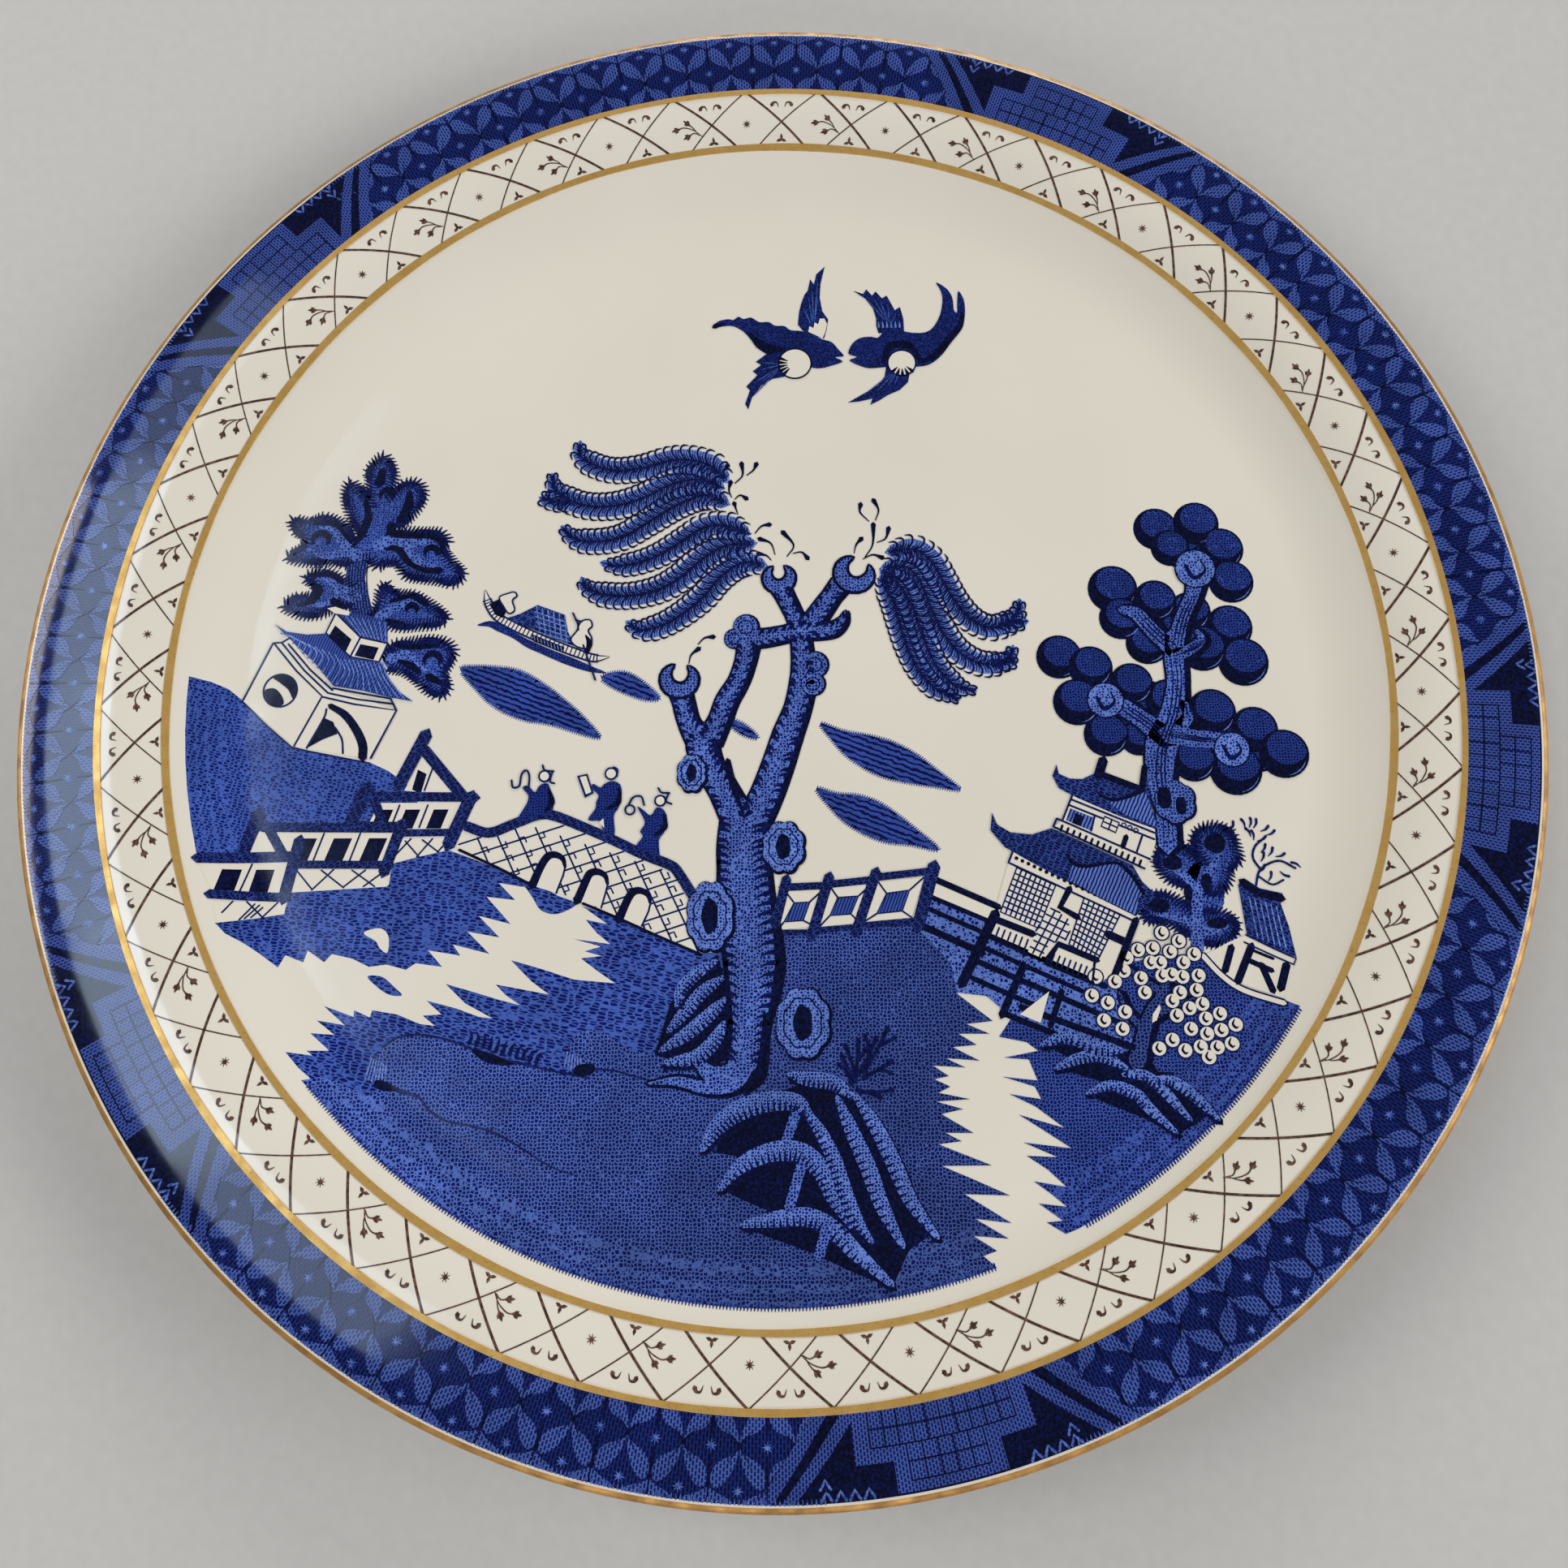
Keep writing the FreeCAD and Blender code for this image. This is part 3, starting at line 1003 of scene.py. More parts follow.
def fringed_lobe(piece, outline, reach=1.25):
    """Foliage with a fringe all round, drawn from the trunk round to the trunk."""
    rim = smooth(clockwise(outline), False, 6)
    piece.fill(rim, FOLIAGE, 2)
    fringe(piece, rim, reach, 0.70, 30, NAVY_LEAF, 3, 0.44)
    inner = rim * 0.97 + rim.mean(0) * 0.03
    fringe(piece, inner[::-1], 1.5, 0.62, 20, NAVY_LEAF, 3, 0.40)


def left_tree():
    """The tree on the left: fringed lobes of foliage around a hatched trunk."""
    piece = motif("left_tree")
    lobes = (
        [(-77.8, 27.2), (-79.3, 30.2), (-81.5, 31.6), (-84, 32.3), (-86.5, 31.4), (-89.8, 31.8), (-89, 29.6),
         (-87.2, 28.3), (-87.6, 26.2), (-90.2, 24.6), (-88, 23.6), (-85, 23.3), (-82, 23.4), (-79, 22.9),
         (-77.5, 24)],
        [(-76.4, 28), (-78.6, 31.8), (-79.8, 34.5), (-80.3, 37.2), (-79.7, 39.3), (-78, 38.2), (-76.3, 36.8),
         (-75, 34)],
        [(-76, 36), (-75.9, 39.5), (-76.3, 41.5), (-75, 43.6), (-73.6, 44.6), (-72.2, 43), (-71.3, 40.5),
         (-71.5, 38.2), (-72.5, 36)],
        [(-72, 36.4), (-69.3, 38.9), (-66.8, 39), (-65.6, 37.2), (-66, 34.8), (-67.6, 32.3), (-69.2, 30.8),
         (-71.5, 30.2)],
        [(-72.5, 28.4), (-68.5, 29.3), (-65, 29.2), (-62, 29), (-60.4, 27.2), (-61, 25.6), (-59.3, 23.2),
         (-57.3, 20.8), (-58.8, 19), (-62, 19.6), (-65, 20), (-67.8, 20.6), (-69.5, 22.8), (-71.5, 23.2),
         (-73.2, 22.4), (-75.3, 23.8)],
        [(-77.5, 18.6), (-79.3, 19.8), (-81.5, 21), (-84, 21.6), (-86.4, 20.4), (-84.8, 19), (-83.8, 17.4),
         (-86, 16.6), (-88, 16.4), (-90, 15), (-88.4, 13.8), (-86, 13), (-83, 13.2), (-80.5, 14.4),
         (-77, 15)],
        [(-73.6, 12.2), (-72.6, 15.5), (-72.4, 17.6), (-71.5, 19), (-70.3, 17.6), (-68.5, 17), (-66, 16.8),
         (-63.5, 15.4), (-61, 13.6), (-59.8, 12), (-62, 11), (-65, 10.8), (-68, 10.6), (-71.5, 11.2)],
        [(-71, 4.4), (-69.2, 7.2), (-66, 7.8), (-62.5, 8.2), (-59.5, 7.6), (-58, 5.8), (-58.8, 3.6),
         (-59.6, 1.6), (-58.8, -0.8), (-60, -2.4), (-62.6, -1.2), (-64.6, 0.6), (-67, 2.2), (-70, 2.8)],
    )
    for lobe in lobes:
        fringed_lobe(piece, lobe)
    piece.fill([(-75.8, 36), (-76.2, 30), (-78.6, 26.5), (-79, 20), (-77.5, 12), (-73, 12), (-75.4, 20),
                (-75, 24), (-72, 27), (-71, 31), (-71.4, 37.5), (-73.5, 38.5)], FOLIAGE, 3)
    for start in range(7):
        x = -78.4 + 0.55 * start
        piece.curve([(x + 0.3, 25), (x, 21), (x + 0.5, 17), (x + 1.6, 12.4)], 0.16, NAVY, 5)
    for path, width in (
        ([(-77, 24.4), (-79.8, 26.8), (-82, 29.6), (-84.6, 30.4)], (2.4, 1.8, 1.3, 0.5)),
        ([(-79, 25.2), (-83, 24.6), (-86.4, 26)], (1.6, 1.3, 0.5)),
        ([(-73.5, 26.4), (-71, 27.6), (-67.5, 27), (-64.5, 27.5), (-62.4, 26)], (2.6, 1.9, 2.2, 1.6, 0.5)),
        ([(-68, 26.4), (-66, 23.6), (-62.8, 22.3)], (1.6, 1.4, 0.5)),
        ([(-76.8, 16.6), (-80, 18), (-82, 19.8), (-84.2, 20.2)], (2.8, 1.9, 1.1, 0.5)),
        ([(-79.6, 17.2), (-82.4, 15.2), (-85.6, 15)], (1.5, 1.2, 0.4)),
        ([(-72.4, 12.6), (-69, 14.4), (-66.8, 15.6), (-64.6, 14.6)], (1.8, 1.6, 1, 0.4)),
        ([(-69.6, 4.6), (-66.6, 5.4), (-64.4, 3.4), (-62.8, 2.4)], (2, 1.6, 1.3, 0.4)),
    ):
        piece.curve(path, width, BARK, 5)
    for path, widths, level in (
        ([(-85.6, 31), (-82.4, 30.9), (-80, 28.6), (-78, 26)], (0.6, 1.3, 1.5, 0.8), 4),
        ([(-76.4, 35.4), (-75.6, 32.4), (-76.6, 29), (-78, 26.4)], (0.8, 1.5, 1.5, 0.5), 6),
        ([(-71.3, 30.6), (-70.8, 29), (-67, 28.4), (-63.6, 28.4), (-61.6, 27), (-61.4, 25)],
         (1.6, 1.6, 1.1, 1.3, 1.3, 0.6), 6),
        ([(-72.2, 26), (-69.6, 25.8), (-67.6, 23.6), (-65, 21.8), (-61.6, 21.6)], (0.5, 1.4, 1.6, 1, 1.4), 4),
        ([(-69.8, 31.6), (-68.4, 34), (-68.2, 37)], (1.2, 2, 1.2), 4),
        ([(-74, 39), (-73.6, 41.6)], (2, 1.4), 4),
        ([(-85.4, 20.9), (-82, 20.8), (-79.6, 19.2)], (0.6, 1.4, 0.8), 4),
        ([(-87.4, 15), (-85, 15.8), (-83.8, 17.8), (-84.4, 19)], (0.6, 1.4, 1.8, 0.8), 6),
        ([(-81, 15.8), (-79.4, 15.2)], (1.4, 1), 6),
        ([(-70.4, 15.6), (-67, 16.4), (-63.6, 15)], (0.6, 1.2, 0.8), 4),
        ([(-70.6, 11.8), (-67.6, 11.4)], (1, 0.6), 4),
        ([(-68, 6.8), (-64.6, 6.9), (-61, 7)], (0.6, 1.2, 0.7), 4),
        ([(-68, 4.2), (-65.6, 3.2), (-64.2, 2)], (0.7, 1.5, 0.9), 6),
        ([(-62.4, 1.2), (-60.2, 0)], (1.6, 1), 4),
    ):
        piece.curve(path, widths, NAVY, level)
    for x, y, size in ((-84.2, 27.6, 1.9), (-72.5, 36.4, 1.5), (-63.4, 25, 1.4), (-66.3, 13.9, 1.2),
                       (-61.9, 4.1, 1.8)):
        piece.curve(arc(x, y, 0.8 * size, range(-30, 240, 30)), (0.3, 1.2, 1.3, 0.9, 0.2), NAVY, 6)
    piece.build()


def hut():
    """A low white hut with hatched roofs, a round window and a dark doorway."""
    piece = motif("hut")
    piece.fill([(-91.2, 7.6), (-95.7, -3.2), (-85.7, -11.7), (-71.8, -14), (-67.8, -5), (-80.4, -0.6),
                (-88.6, 9)], WHITE, 7)
    roof = [(-91.2, 11.3), (-89, 9.9), (-85.2, 9.3), (-81.4, 9.5), (-76.6, 5.2), (-71.8, 4.2), (-70.4, 2.9),
            (-69.6, 0.6), (-67.6, -1.6), (-65.0, -3.4), (-69, -2.7), (-74, -1.4), (-79.5, -0.5), (-83.4, 4),
            (-88.6, 8.8)]
    piece.fill(roof, ROOF, 8)
    piece.fill([(-80.2, 13.4), (-81.7, 9.6), (-76.9, 5.0), (-75.3, 8.7)], WHITE, 8)
    piece.fill([(-75.3, 8.7), (-70.2, 7.5), (-71.6, 4.0), (-76.9, 5.0)], WHITE, 8)
    piece.fill([(-79.8, 13.4), (-74.5, 13), (-70.6, 11.6), (-70.3, 7.6), (-75.3, 8.7)], ROOF, 8)
    piece.fill([(-81.8, 14.3), (-80.4, 14.6), (-77.6, 13.6), (-77.8, 12.9), (-80.3, 13.3)], WHITE, 9)
    piece.fill([(-80.1, 11), (-81.2, 8.9), (-77.9, 5.7), (-76.9, 8.3)], NAVY, 9)
    piece.fill([(-75.2, 7.4), (-71.8, 6.7), (-72.6, 4.4), (-76.1, 5.2)], NAVY, 9)
    for path in (
        [(-95.7, -3.1), (-91.2, 7.7), (-89.6, 7.8), (-88.2, 8.7)],
        [(-91.0, 7.6), (-86.5, 2.4), (-81.4, -2.4), (-85.7, -11.6)],
        [(-89.6, 7.7), (-85, 2.4), (-80.4, -1.8)],
        [(-88.4, 7.5), (-84, 2.6), (-79.6, -1.3)],
        [(-81.4, -2.5), (-75.6, -3.9), (-67.8, -5.1), (-71.8, -13.9)],
        [(-80.4, -1.8), (-75, -3), (-68.4, -3.9)],
        [(-79.6, -0.9), (-74.4, -1.9), (-69, -2.9), (-67.8, -5.1)],
        [(-80.2, 13.4), (-81.7, 9.6), (-76.9, 5), (-71.6, 4), (-70.2, 7.5)],
        [(-80.2, 13.4), (-75.3, 8.7), (-70.2, 7.5)],
        [(-75.3, 8.7), (-76.9, 5)],
    ):
        piece.stroke(path, 0.34, DEEP_LINE, 9)
    for k in range(9):
        t = k / 8
        start = (-90 + 10.4 * t, 9.6 - 4.2 * t)
        end = (-87.6 + 7.8 * t, 7.6 - 7.4 * t)
        middle = ((start[0] + end[0]) / 2 + 1.2, (start[1] + end[1]) / 2 + 0.2)
        piece.curve([start, middle, end], 0.2, PALE, 9)
    for k in range(11):
        t = k / 10
        piece.curve([(-78.6 + 7.6 * t, 4.5 - 0.6 * t), (-77.6 + 8 * t, 2.2 - 1.4 * t),
                     (-79 + 12.6 * t, -0.2 - 2.8 * t)], 0.2, PALE, 9)
    for k in range(8):
        t = k / 7
        piece.stroke([(-78.4 + 7.4 * t, 12.9 - 1.5 * t), (-75.2 + 4.6 * t, 9 - 1.2 * t)], 0.2, PALE, 9)
    piece.stroke(circle(-89.1, -1.3, 3.05, 30), 0.34, DEEP_LINE, 9, True)
    piece.blob([(-90.6, 1.2), (-88.8, 1.7), (-86.8, 0.6), (-86.1, -1.4), (-86.6, -2.9), (-87.6, -1.2),
                (-89.2, 0.1)], NAVY, 10)
    piece.blob([(-91.9, -1.3), (-90.2, -0.9), (-88.8, -2.2), (-88.3, -3.8), (-89.8, -4.2), (-91.3, -3.2)],
               NAVY, 10)
    piece.curve([(-79.8, -4.2), (-77, -5.9), (-74.8, -8.6), (-73.4, -11.4), (-73.2, -13.8)],
                (1.0, 1.4, 1.5, 1.6, 1.6), NAVY, 10)
    piece.fill([(-80.8, -6.4), (-79, -7.2), (-78.1, -9.4), (-80.6, -10.4), (-83.2, -11.9), (-81.8, -9)],
               NAVY, 10)
    piece.curve([(-78.6, -8.2), (-77.2, -10.4), (-76.8, -13)], 0.34, DEEP_LINE, 10)
    piece.curve([(-80.4, -4.8), (-80.8, -6.6), (-83.4, -12)], 0.34, DEEP_LINE, 10)
    piece.build()


def hill():
    """The hatched ground under the hut."""
    piece = motif("hill")
    shore = [polar(HILL_EDGE, angle) for angle in (*range(197, 180, -3), 179.5)]
    top = [(-101.5, 0.2), (-98.5, -1), (-95.7, -3.2), (-91, -7.6), (-86.2, -11.6), (-83, -12.4), (-78, -13.4),
           (-72, -14.6), (-68.5, -16.2), (-66, -18), (-62, -20.5)]
    piece.fill(shore + top + [(-66, -26.5), (-90, -27), (-93, -31.2), (-100, -31.5)], HILL, 1)
    piece.stroke([(-95.7, -3.4), (-91, -7.8), (-86.2, -11.8), (-83, -12.6), (-78, -13.6), (-72, -14.8)], 0.3,
                 DEEP_LINE, 2)
    piece.build()


def picket(piece, left, right, height, lean, level):
    """A dark upright in the fence, which leaves white bars on both sides."""
    (x0, y0), (x1, y1) = left, right
    piece.fill([(x0, y0), (x1, y1), (x1 - lean, y1 - height), (x0 - lean, y0 - height)], NAVY, level)


def zigzag_fence():
    """Three fences, one behind another, down to the water."""
    piece = motif("zigzag_fence")
    for ground in (
        [(-69.6, -22), (-56, -22), (-57.4, -27), (-71.5, -26.2)],
        [(-65.4, -19.8), (-62.4, -13.6), (-56.2, -20.6)],
        [(-90.5, -27), (-66, -27), (-68, -32.6), (-93, -32)],
        [(-100, -32.2), (-84.4, -32), (-85.6, -38.6), (-97, -38)],
        [(-84.2, -33.8), (-67.4, -33.8), (-67.2, -36.8), (-84, -37.8)],
        [(-66.4, -28.4), (-56.4, -28.2), (-57.2, -30.5), (-66.8, -32.6)],
        [(-96.6, -39.6), (-84.8, -39.2), (-84.8, -41.5), (-95.6, -43.2)],
    ):
        piece.fill(ground, WHITE, 3)
    for x in (-94.2, -88.6):
        picket(piece, (x - 1.8, -33.8), (x + 1.4, -33.8), 4, 0.9, 4)
    for x in (-81.8, -75.6, -69.4):
        picket(piece, (x - 1.6, -28.3), (x + 1.6, -28.3), 4.2, 1.5, 4)
    for x in (-68.4, -63.6, -58.6):
        picket(piece, (x - 1.3, -23.2), (x + 1.3, -23.2), 3.4, 1.2, 4)
    picket(piece, (-63.2, -16), (-61.6, -16.8), 3.6, 0.8, 4)
    for x, y, height, lean in ((-91.2, -32.8, 5, 1.6), (-79, -27.4, 5, 1.6), (-72.6, -27.4, 5, 1.6),
                               (-66, -22.4, 4, 1.3), (-61, -22.4, 4, 1.3), (-60.6, -15.8, 4, 1.2)):
        piece.stroke([(x, y), (x - lean, y - height)], 0.3, DEEP_LINE, 5)
    for path, width in (
        ([(-62.1, -9.5), (-66.4, -18.8)], 2.3),
        ([(-62.3, -12.4), (-54.8, -21)], 2.0),
        ([(-72.8, -20.8), (-55, -21), (-52.6, -21.1)], 1.7),
        ([(-53.4, -20.8), (-57, -29.6)], 2.3),
        ([(-72, -19), (-74.6, -26)], 2.3),
        ([(-71, -20.4), (-68.8, -25.6)], 1.6),
        ([(-74, -26.1), (-65, -26.2)], 1.6),
        ([(-66, -27.4), (-56.4, -27.3)], 1.3),
        ([(-90.8, -23.7), (-93.2, -31.4)], 2.3),
        ([(-89.4, -25.8), (-85.8, -31.4)], 1.7),
        ([(-90, -26.3), (-66, -26.5)], 1.7),
        ([(-65.3, -25.6), (-68, -34.4)], 2.0),
        ([(-84.4, -32.9), (-67, -33)], 1.4),
        ([(-100, -31.9), (-84, -31.5)], 1.9),
        ([(-83.2, -28.6), (-85.2, -39)], 2.1),
        ([(-97.4, -38.2), (-84.6, -38.7)], 1.6),
    ):
        piece.stroke(path, width, WOVEN, 6)
    for path in (
        [(-83.6, -33.6), (-80.4, -37.2)], [(-80.4, -37.4), (-76.8, -33.8)], [(-79, -33.9), (-74.8, -37)],
        [(-74.8, -36.8), (-71.2, -33.9)], [(-73.6, -33.9), (-69.4, -36.8)], [(-71.4, -36.8), (-68, -34.2)],
        [(-66.6, -31.8), (-63.6, -28.4)], [(-64.6, -28.8), (-62, -31.6)], [(-62.4, -31.6), (-59.8, -28.4)],
        [(-61.6, -28.6), (-58.6, -30.8)], [(-58.8, -30.8), (-57, -28.6)],
        [(-95, -41.4), (-93.6, -39.4)], [(-91.4, -39.4), (-88.4, -42.2)], [(-88.6, -42.2), (-86, -39.4)],
        [(-92.2, -42.6), (-90, -39.8)], [(-91.4, -42.4), (-89.2, -40)], [(-90.4, -42.2), (-88.6, -40.4)],
    ):
        piece.stroke(path, 0.28, DEEP_LINE, 5)
    piece.build()


def far_shore():
    """The shore under the fences, hatched level, with a torn edge to the water."""
    piece = motif("far_shore")
    shore = [(-95.8, -43.2), (-90, -42.4), (-85, -41.6), (-84, -37.8), (-75, -37.2), (-67, -36.6),
             (-66.6, -32.8), (-62, -31.6), (-57, -30.4), (-52, -32.2), (-47, -34.2), (-42.2, -36.4),
             (-43.5, -36.9), (-47.8, -36.2), (-44.8, -39.2), (-49.8, -38.6), (-45.4, -43.3), (-51, -41.9),
             (-47.2, -45.6), (-52.8, -44.6), (-48.8, -48.4), (-55.2, -46.8), (-53.8, -48.7), (-59.4, -47.8),
             (-56.8, -50.6), (-61.4, -50), (-63, -51.1), (-66.4, -50.2), (-69.4, -50.6), (-72.4, -49.2),
             (-76, -48.4), (-77.2, -49.8), (-80.2, -47.8), (-80.8, -49.8), (-84, -48.6), (-85, -50.7),
             (-88.2, -48.4), (-91, -46.6), (-94, -45)]
    gap = [(-70.8, -44.8), (-68, -44.0), (-66.4, -45.4), (-66.4, -48.2), (-67.8, -47.4), (-68.6, -46.2)]
    piece.fill(shore, SHORE, 1, [smooth(gap, True, 4)])
    piece.blob([(-69.5, -52.2), (-67, -52.3), (-64.8, -54), (-63.4, -55.4), (-65.6, -55.3), (-68, -53.8)],
               SHORE, 1)
    piece.build()


def parts_inside(path, outline):
    """The stretches of a line that lie within an outline."""
    path = subdivided(path, 0.25, False)
    within = inside(path, as_points(outline))
    runs, run = [], []
    for point, is_in in zip(path, within):
        if is_in:
            run.append(point)
        elif run:
            runs.append(run)
            run = []
    runs.append(run)
    return [found for found in runs if len(found) > 2]


def clipped_line(piece, start, end, outline, level):
    """A fine line between two places, drawn only within an outline."""
    for run in parts_inside([start, end], outline):
        piece.stroke([run[0], run[-1]], 0.3, DEEP_LINE, level)


def bridge():
    """A bridge of three arches, with a stone face and a woven rail."""
    piece = motif("bridge")
    face = [(-55, -28.0), (-50, -28.2), (-46, -26.8), (-40, -25), (-34, -27), (-24, -31.6), (-17, -35),
            (-14.8, -39.5), (-14.6, -44), (-12.5, -48.4), (-20, -45.2), (-26, -42.5), (-32, -40),
            (-38, -37.6), (-42, -36.4), (-48, -33.4), (-55.5, -30.2)]
    piece.fill(face, WHITE, 3)
    down, over = np.array((0.44, -0.90)), np.array((0.95, 0.31))
    for k in range(11):
        start = np.array((-55.0 + 4.4 * k, -22.0 - 1.5 * k))
        clipped_line(piece, start, start + down * 24, face, 4)
    for k in range(16):
        start = np.array((-58.0 + 1.2 * k, -25.0 - 2.3 * k))
        clipped_line(piece, start, start + over * 46, face, 4)
    for k in range(11):
        for row in range(10):
            spot = np.array((-54.6 + 4.4 * k, -23.2 - 1.45 * k)) + down * 2.6 * row
            key = [spot, spot + over * 1.0, spot + over * 1.0 + down * 1.0, spot + down * 1.0]
            if inside(as_points([spot - down * 0.4, spot + (over + down) * 1.2]), as_points(face)).all():
                piece.stroke(key[:3] if row % 2 else key[1:], 0.3, DEEP_LINE, 4)
    for foot, crown, right_foot in (
        ((-41.9, -36.7), (-38.2, -31.3), (-37.7, -38.0)),
        ((-34.0, -39.4), (-30.7, -34.3), (-29.8, -40.6)),
        ((-26.7, -42.7), (-23.2, -37.6), (-22.7, -43.7)),
    ):
        (x0, y0), (x1, y1) = foot, crown
        left = [foot, (x0 + 1.2, y0 + 3.0), (x1 - 1.3, y1 - 0.4), crown, (x1 + 1.4, y1 - 0.7),
                (x1 + 1.9, y1 - 2.2)]
        right = [(x1 + 1.9, y1 - 2.2), (x1 + 1.6, y1 - 3.6), right_foot]
        piece.fill(list(smooth(left)) + right, WHITE, 5)
        piece.curve(left, (1.5, 1.4, 1.4, 1.2, 0.9, 0.5), NAVY, 6)
        piece.stroke(right, 0.32, DEEP_LINE, 6)
    piece.curve([(-54, -26.2), (-50, -27.4), (-46, -26), (-41.6, -24.3), (-38.6, -24.4), (-34, -26.2),
                 (-28, -28.8), (-23, -31.2), (-18, -33.2), (-16.4, -34.8), (-13.8, -38.8)], 1.8, WOVEN, 7)
    piece.stroke([(-55, -30.4), (-48, -33.6), (-42, -36.6)], 0.5, NAVY, 6)
    piece.stroke([(-33, -39.8), (-26, -42.7), (-20, -45.4), (-12.4, -48.6)], 0.5, NAVY, 6)
    piece.build()


def strider(piece, body, shadow, details, head):
    """A walking figure: robe, its shadowed side, a faceless head and what it carries."""
    piece.blob(body, FOLIAGE_DARK, 8, 3)
    piece.curve(shadow, (0.4, 1.1, 0.5), NAVY, 9)
    x, y, size = head
    piece.fill(circle(x, y, size + 0.15, 12), DEEP_LINE, 9)
    piece.fill(circle(x, y, size - 0.2, 12), WHITE, 10)
    for path in details:
        piece.curve(path, 0.34, DEEP_LINE, 9)


def bridge_figures():
    """Three figures that cross the bridge."""
    piece = motif("bridge_figures")
    strider(
        piece,
        [(-44.9, -25), (-43.6, -22.4), (-43.3, -20.8), (-44.4, -19.4), (-43.4, -19.0), (-42.2, -20.2),
         (-41.4, -19), (-40, -18.6), (-39.3, -20.4), (-38.8, -22.4), (-39.3, -23.8), (-42, -24.6)],
        [(-39.7, -19.6), (-39.1, -22), (-40.2, -23.6)],
        ([(-46.4, -18), (-46.1, -19.3), (-45, -19), (-44.7, -17), (-43.9, -16.2), (-43.3, -17.2),
          (-43.3, -19.2)],
         [(-41, -15.3), (-40.6, -16.2), (-39, -16.4)], [(-39.2, -16.4), (-39.6, -18.2), (-38.8, -18.6)]),
        (-40.6, -17.3, 1.0),
    )
    strider(
        piece,
        [(-30, -18.8), (-28.6, -18.2), (-27.2, -18.8), (-26.8, -20.6), (-27.3, -23), (-28.1, -24.4),
         (-27.9, -27.8), (-30, -26.8), (-30.3, -25.4), (-32.6, -25.2), (-31.4, -23.2), (-31.3, -22),
         (-30.9, -20.8), (-32.1, -19.6), (-31.9, -18.7), (-30.6, -19.4)],
        [(-27.3, -19.6), (-27.4, -22), (-29.4, -23.2)],
        ([(-28.4, -15.7), (-27.7, -16.2), (-27.8, -17.4)],),
        (-28.8, -16.9, 1.05),
    )
    piece.fill([(-34.8, -17.3), (-33.0, -16.9), (-31.8, -20.4), (-33.3, -21.2)], DEEP_LINE, 9)
    piece.fill([(-34.3, -17.5), (-33.2, -17.3), (-32.2, -20.2), (-33.1, -20.6)], WHITE, 10)
    piece.fill([(-30.6, -25.6), (-29.9, -24.9), (-29.7, -26.6)], WHITE, 10)
    strider(
        piece,
        [(-24, -22.9), (-23, -23.4), (-21.6, -24.4), (-20.6, -23), (-19.4, -23.4), (-18.7, -25),
         (-19.2, -27.4), (-20.1, -28.8), (-20, -31.8), (-22.2, -30.8), (-24, -29.8), (-22.9, -28.2),
         (-23.4, -27.2), (-22.6, -25.6)],
        [(-19.3, -24.2), (-19.1, -26.4), (-20.8, -28)],
        ([(-25.6, -22.6), (-24.8, -21.2), (-23.4, -21), (-22.8, -22.6)],
         [(-20.4, -19.5), (-19.8, -20.3), (-18.4, -20.4)], [(-18.5, -20.4), (-19, -21.8), (-18, -22.4)]),
        (-20, -21.8, 0.95),
    )
    piece.stroke(circle(-25.3, -23.4, 0.85, 14), 0.32, DEEP_LINE, 9, True)
    piece.build()


def islands():
    """Low islands on the horizon, hatched with slanting rows."""
    piece = motif("islands")
    for outline in (
        [(-56.8, 2.6), (-54, 3.1), (-50, 2.9), (-46, 2.2), (-42, 0), (-38, -3), (-34, -6.6), (-31, -10.3),
         (-35, -9.4), (-40, -7.8), (-45, -6.9), (-50, -4.6), (-53.5, -1.4)],
        [(-31.2, 0.8), (-29, 1.8), (-26.4, 1.7), (-23.6, 0), (-20.5, -3), (-23, -3.4), (-26, -2.4),
         (-29, -1.0)],
        [(8.2, -7.8), (12, -9.2), (17, -10.2), (21, -11.4), (25, -13.6), (29, -16.8), (32.6, -20),
         (28, -19.4), (23, -18.6), (18, -17.2), (13, -14), (10, -10.6)],
        [(7.4, -19.6), (11, -20.6), (15, -21), (19, -22.6), (24, -26.4), (28.6, -30.6), (24, -29.8),
         (18.5, -29), (13, -26.2), (9.4, -22.6)],
        [(-8.2, -7), (-6, -7.6), (-3.6, -9.4), (-3, -10.6), (-5.4, -10), (-7.6, -8.4)],
    ):
        rim = smooth(clockwise(outline), True, 4)
        piece.fill(rim, ISLAND, 2)
        fringe(piece, rim, 0.42, 0.42, 20, ISLAND_EDGE, 2, 0.22)
    piece.build()


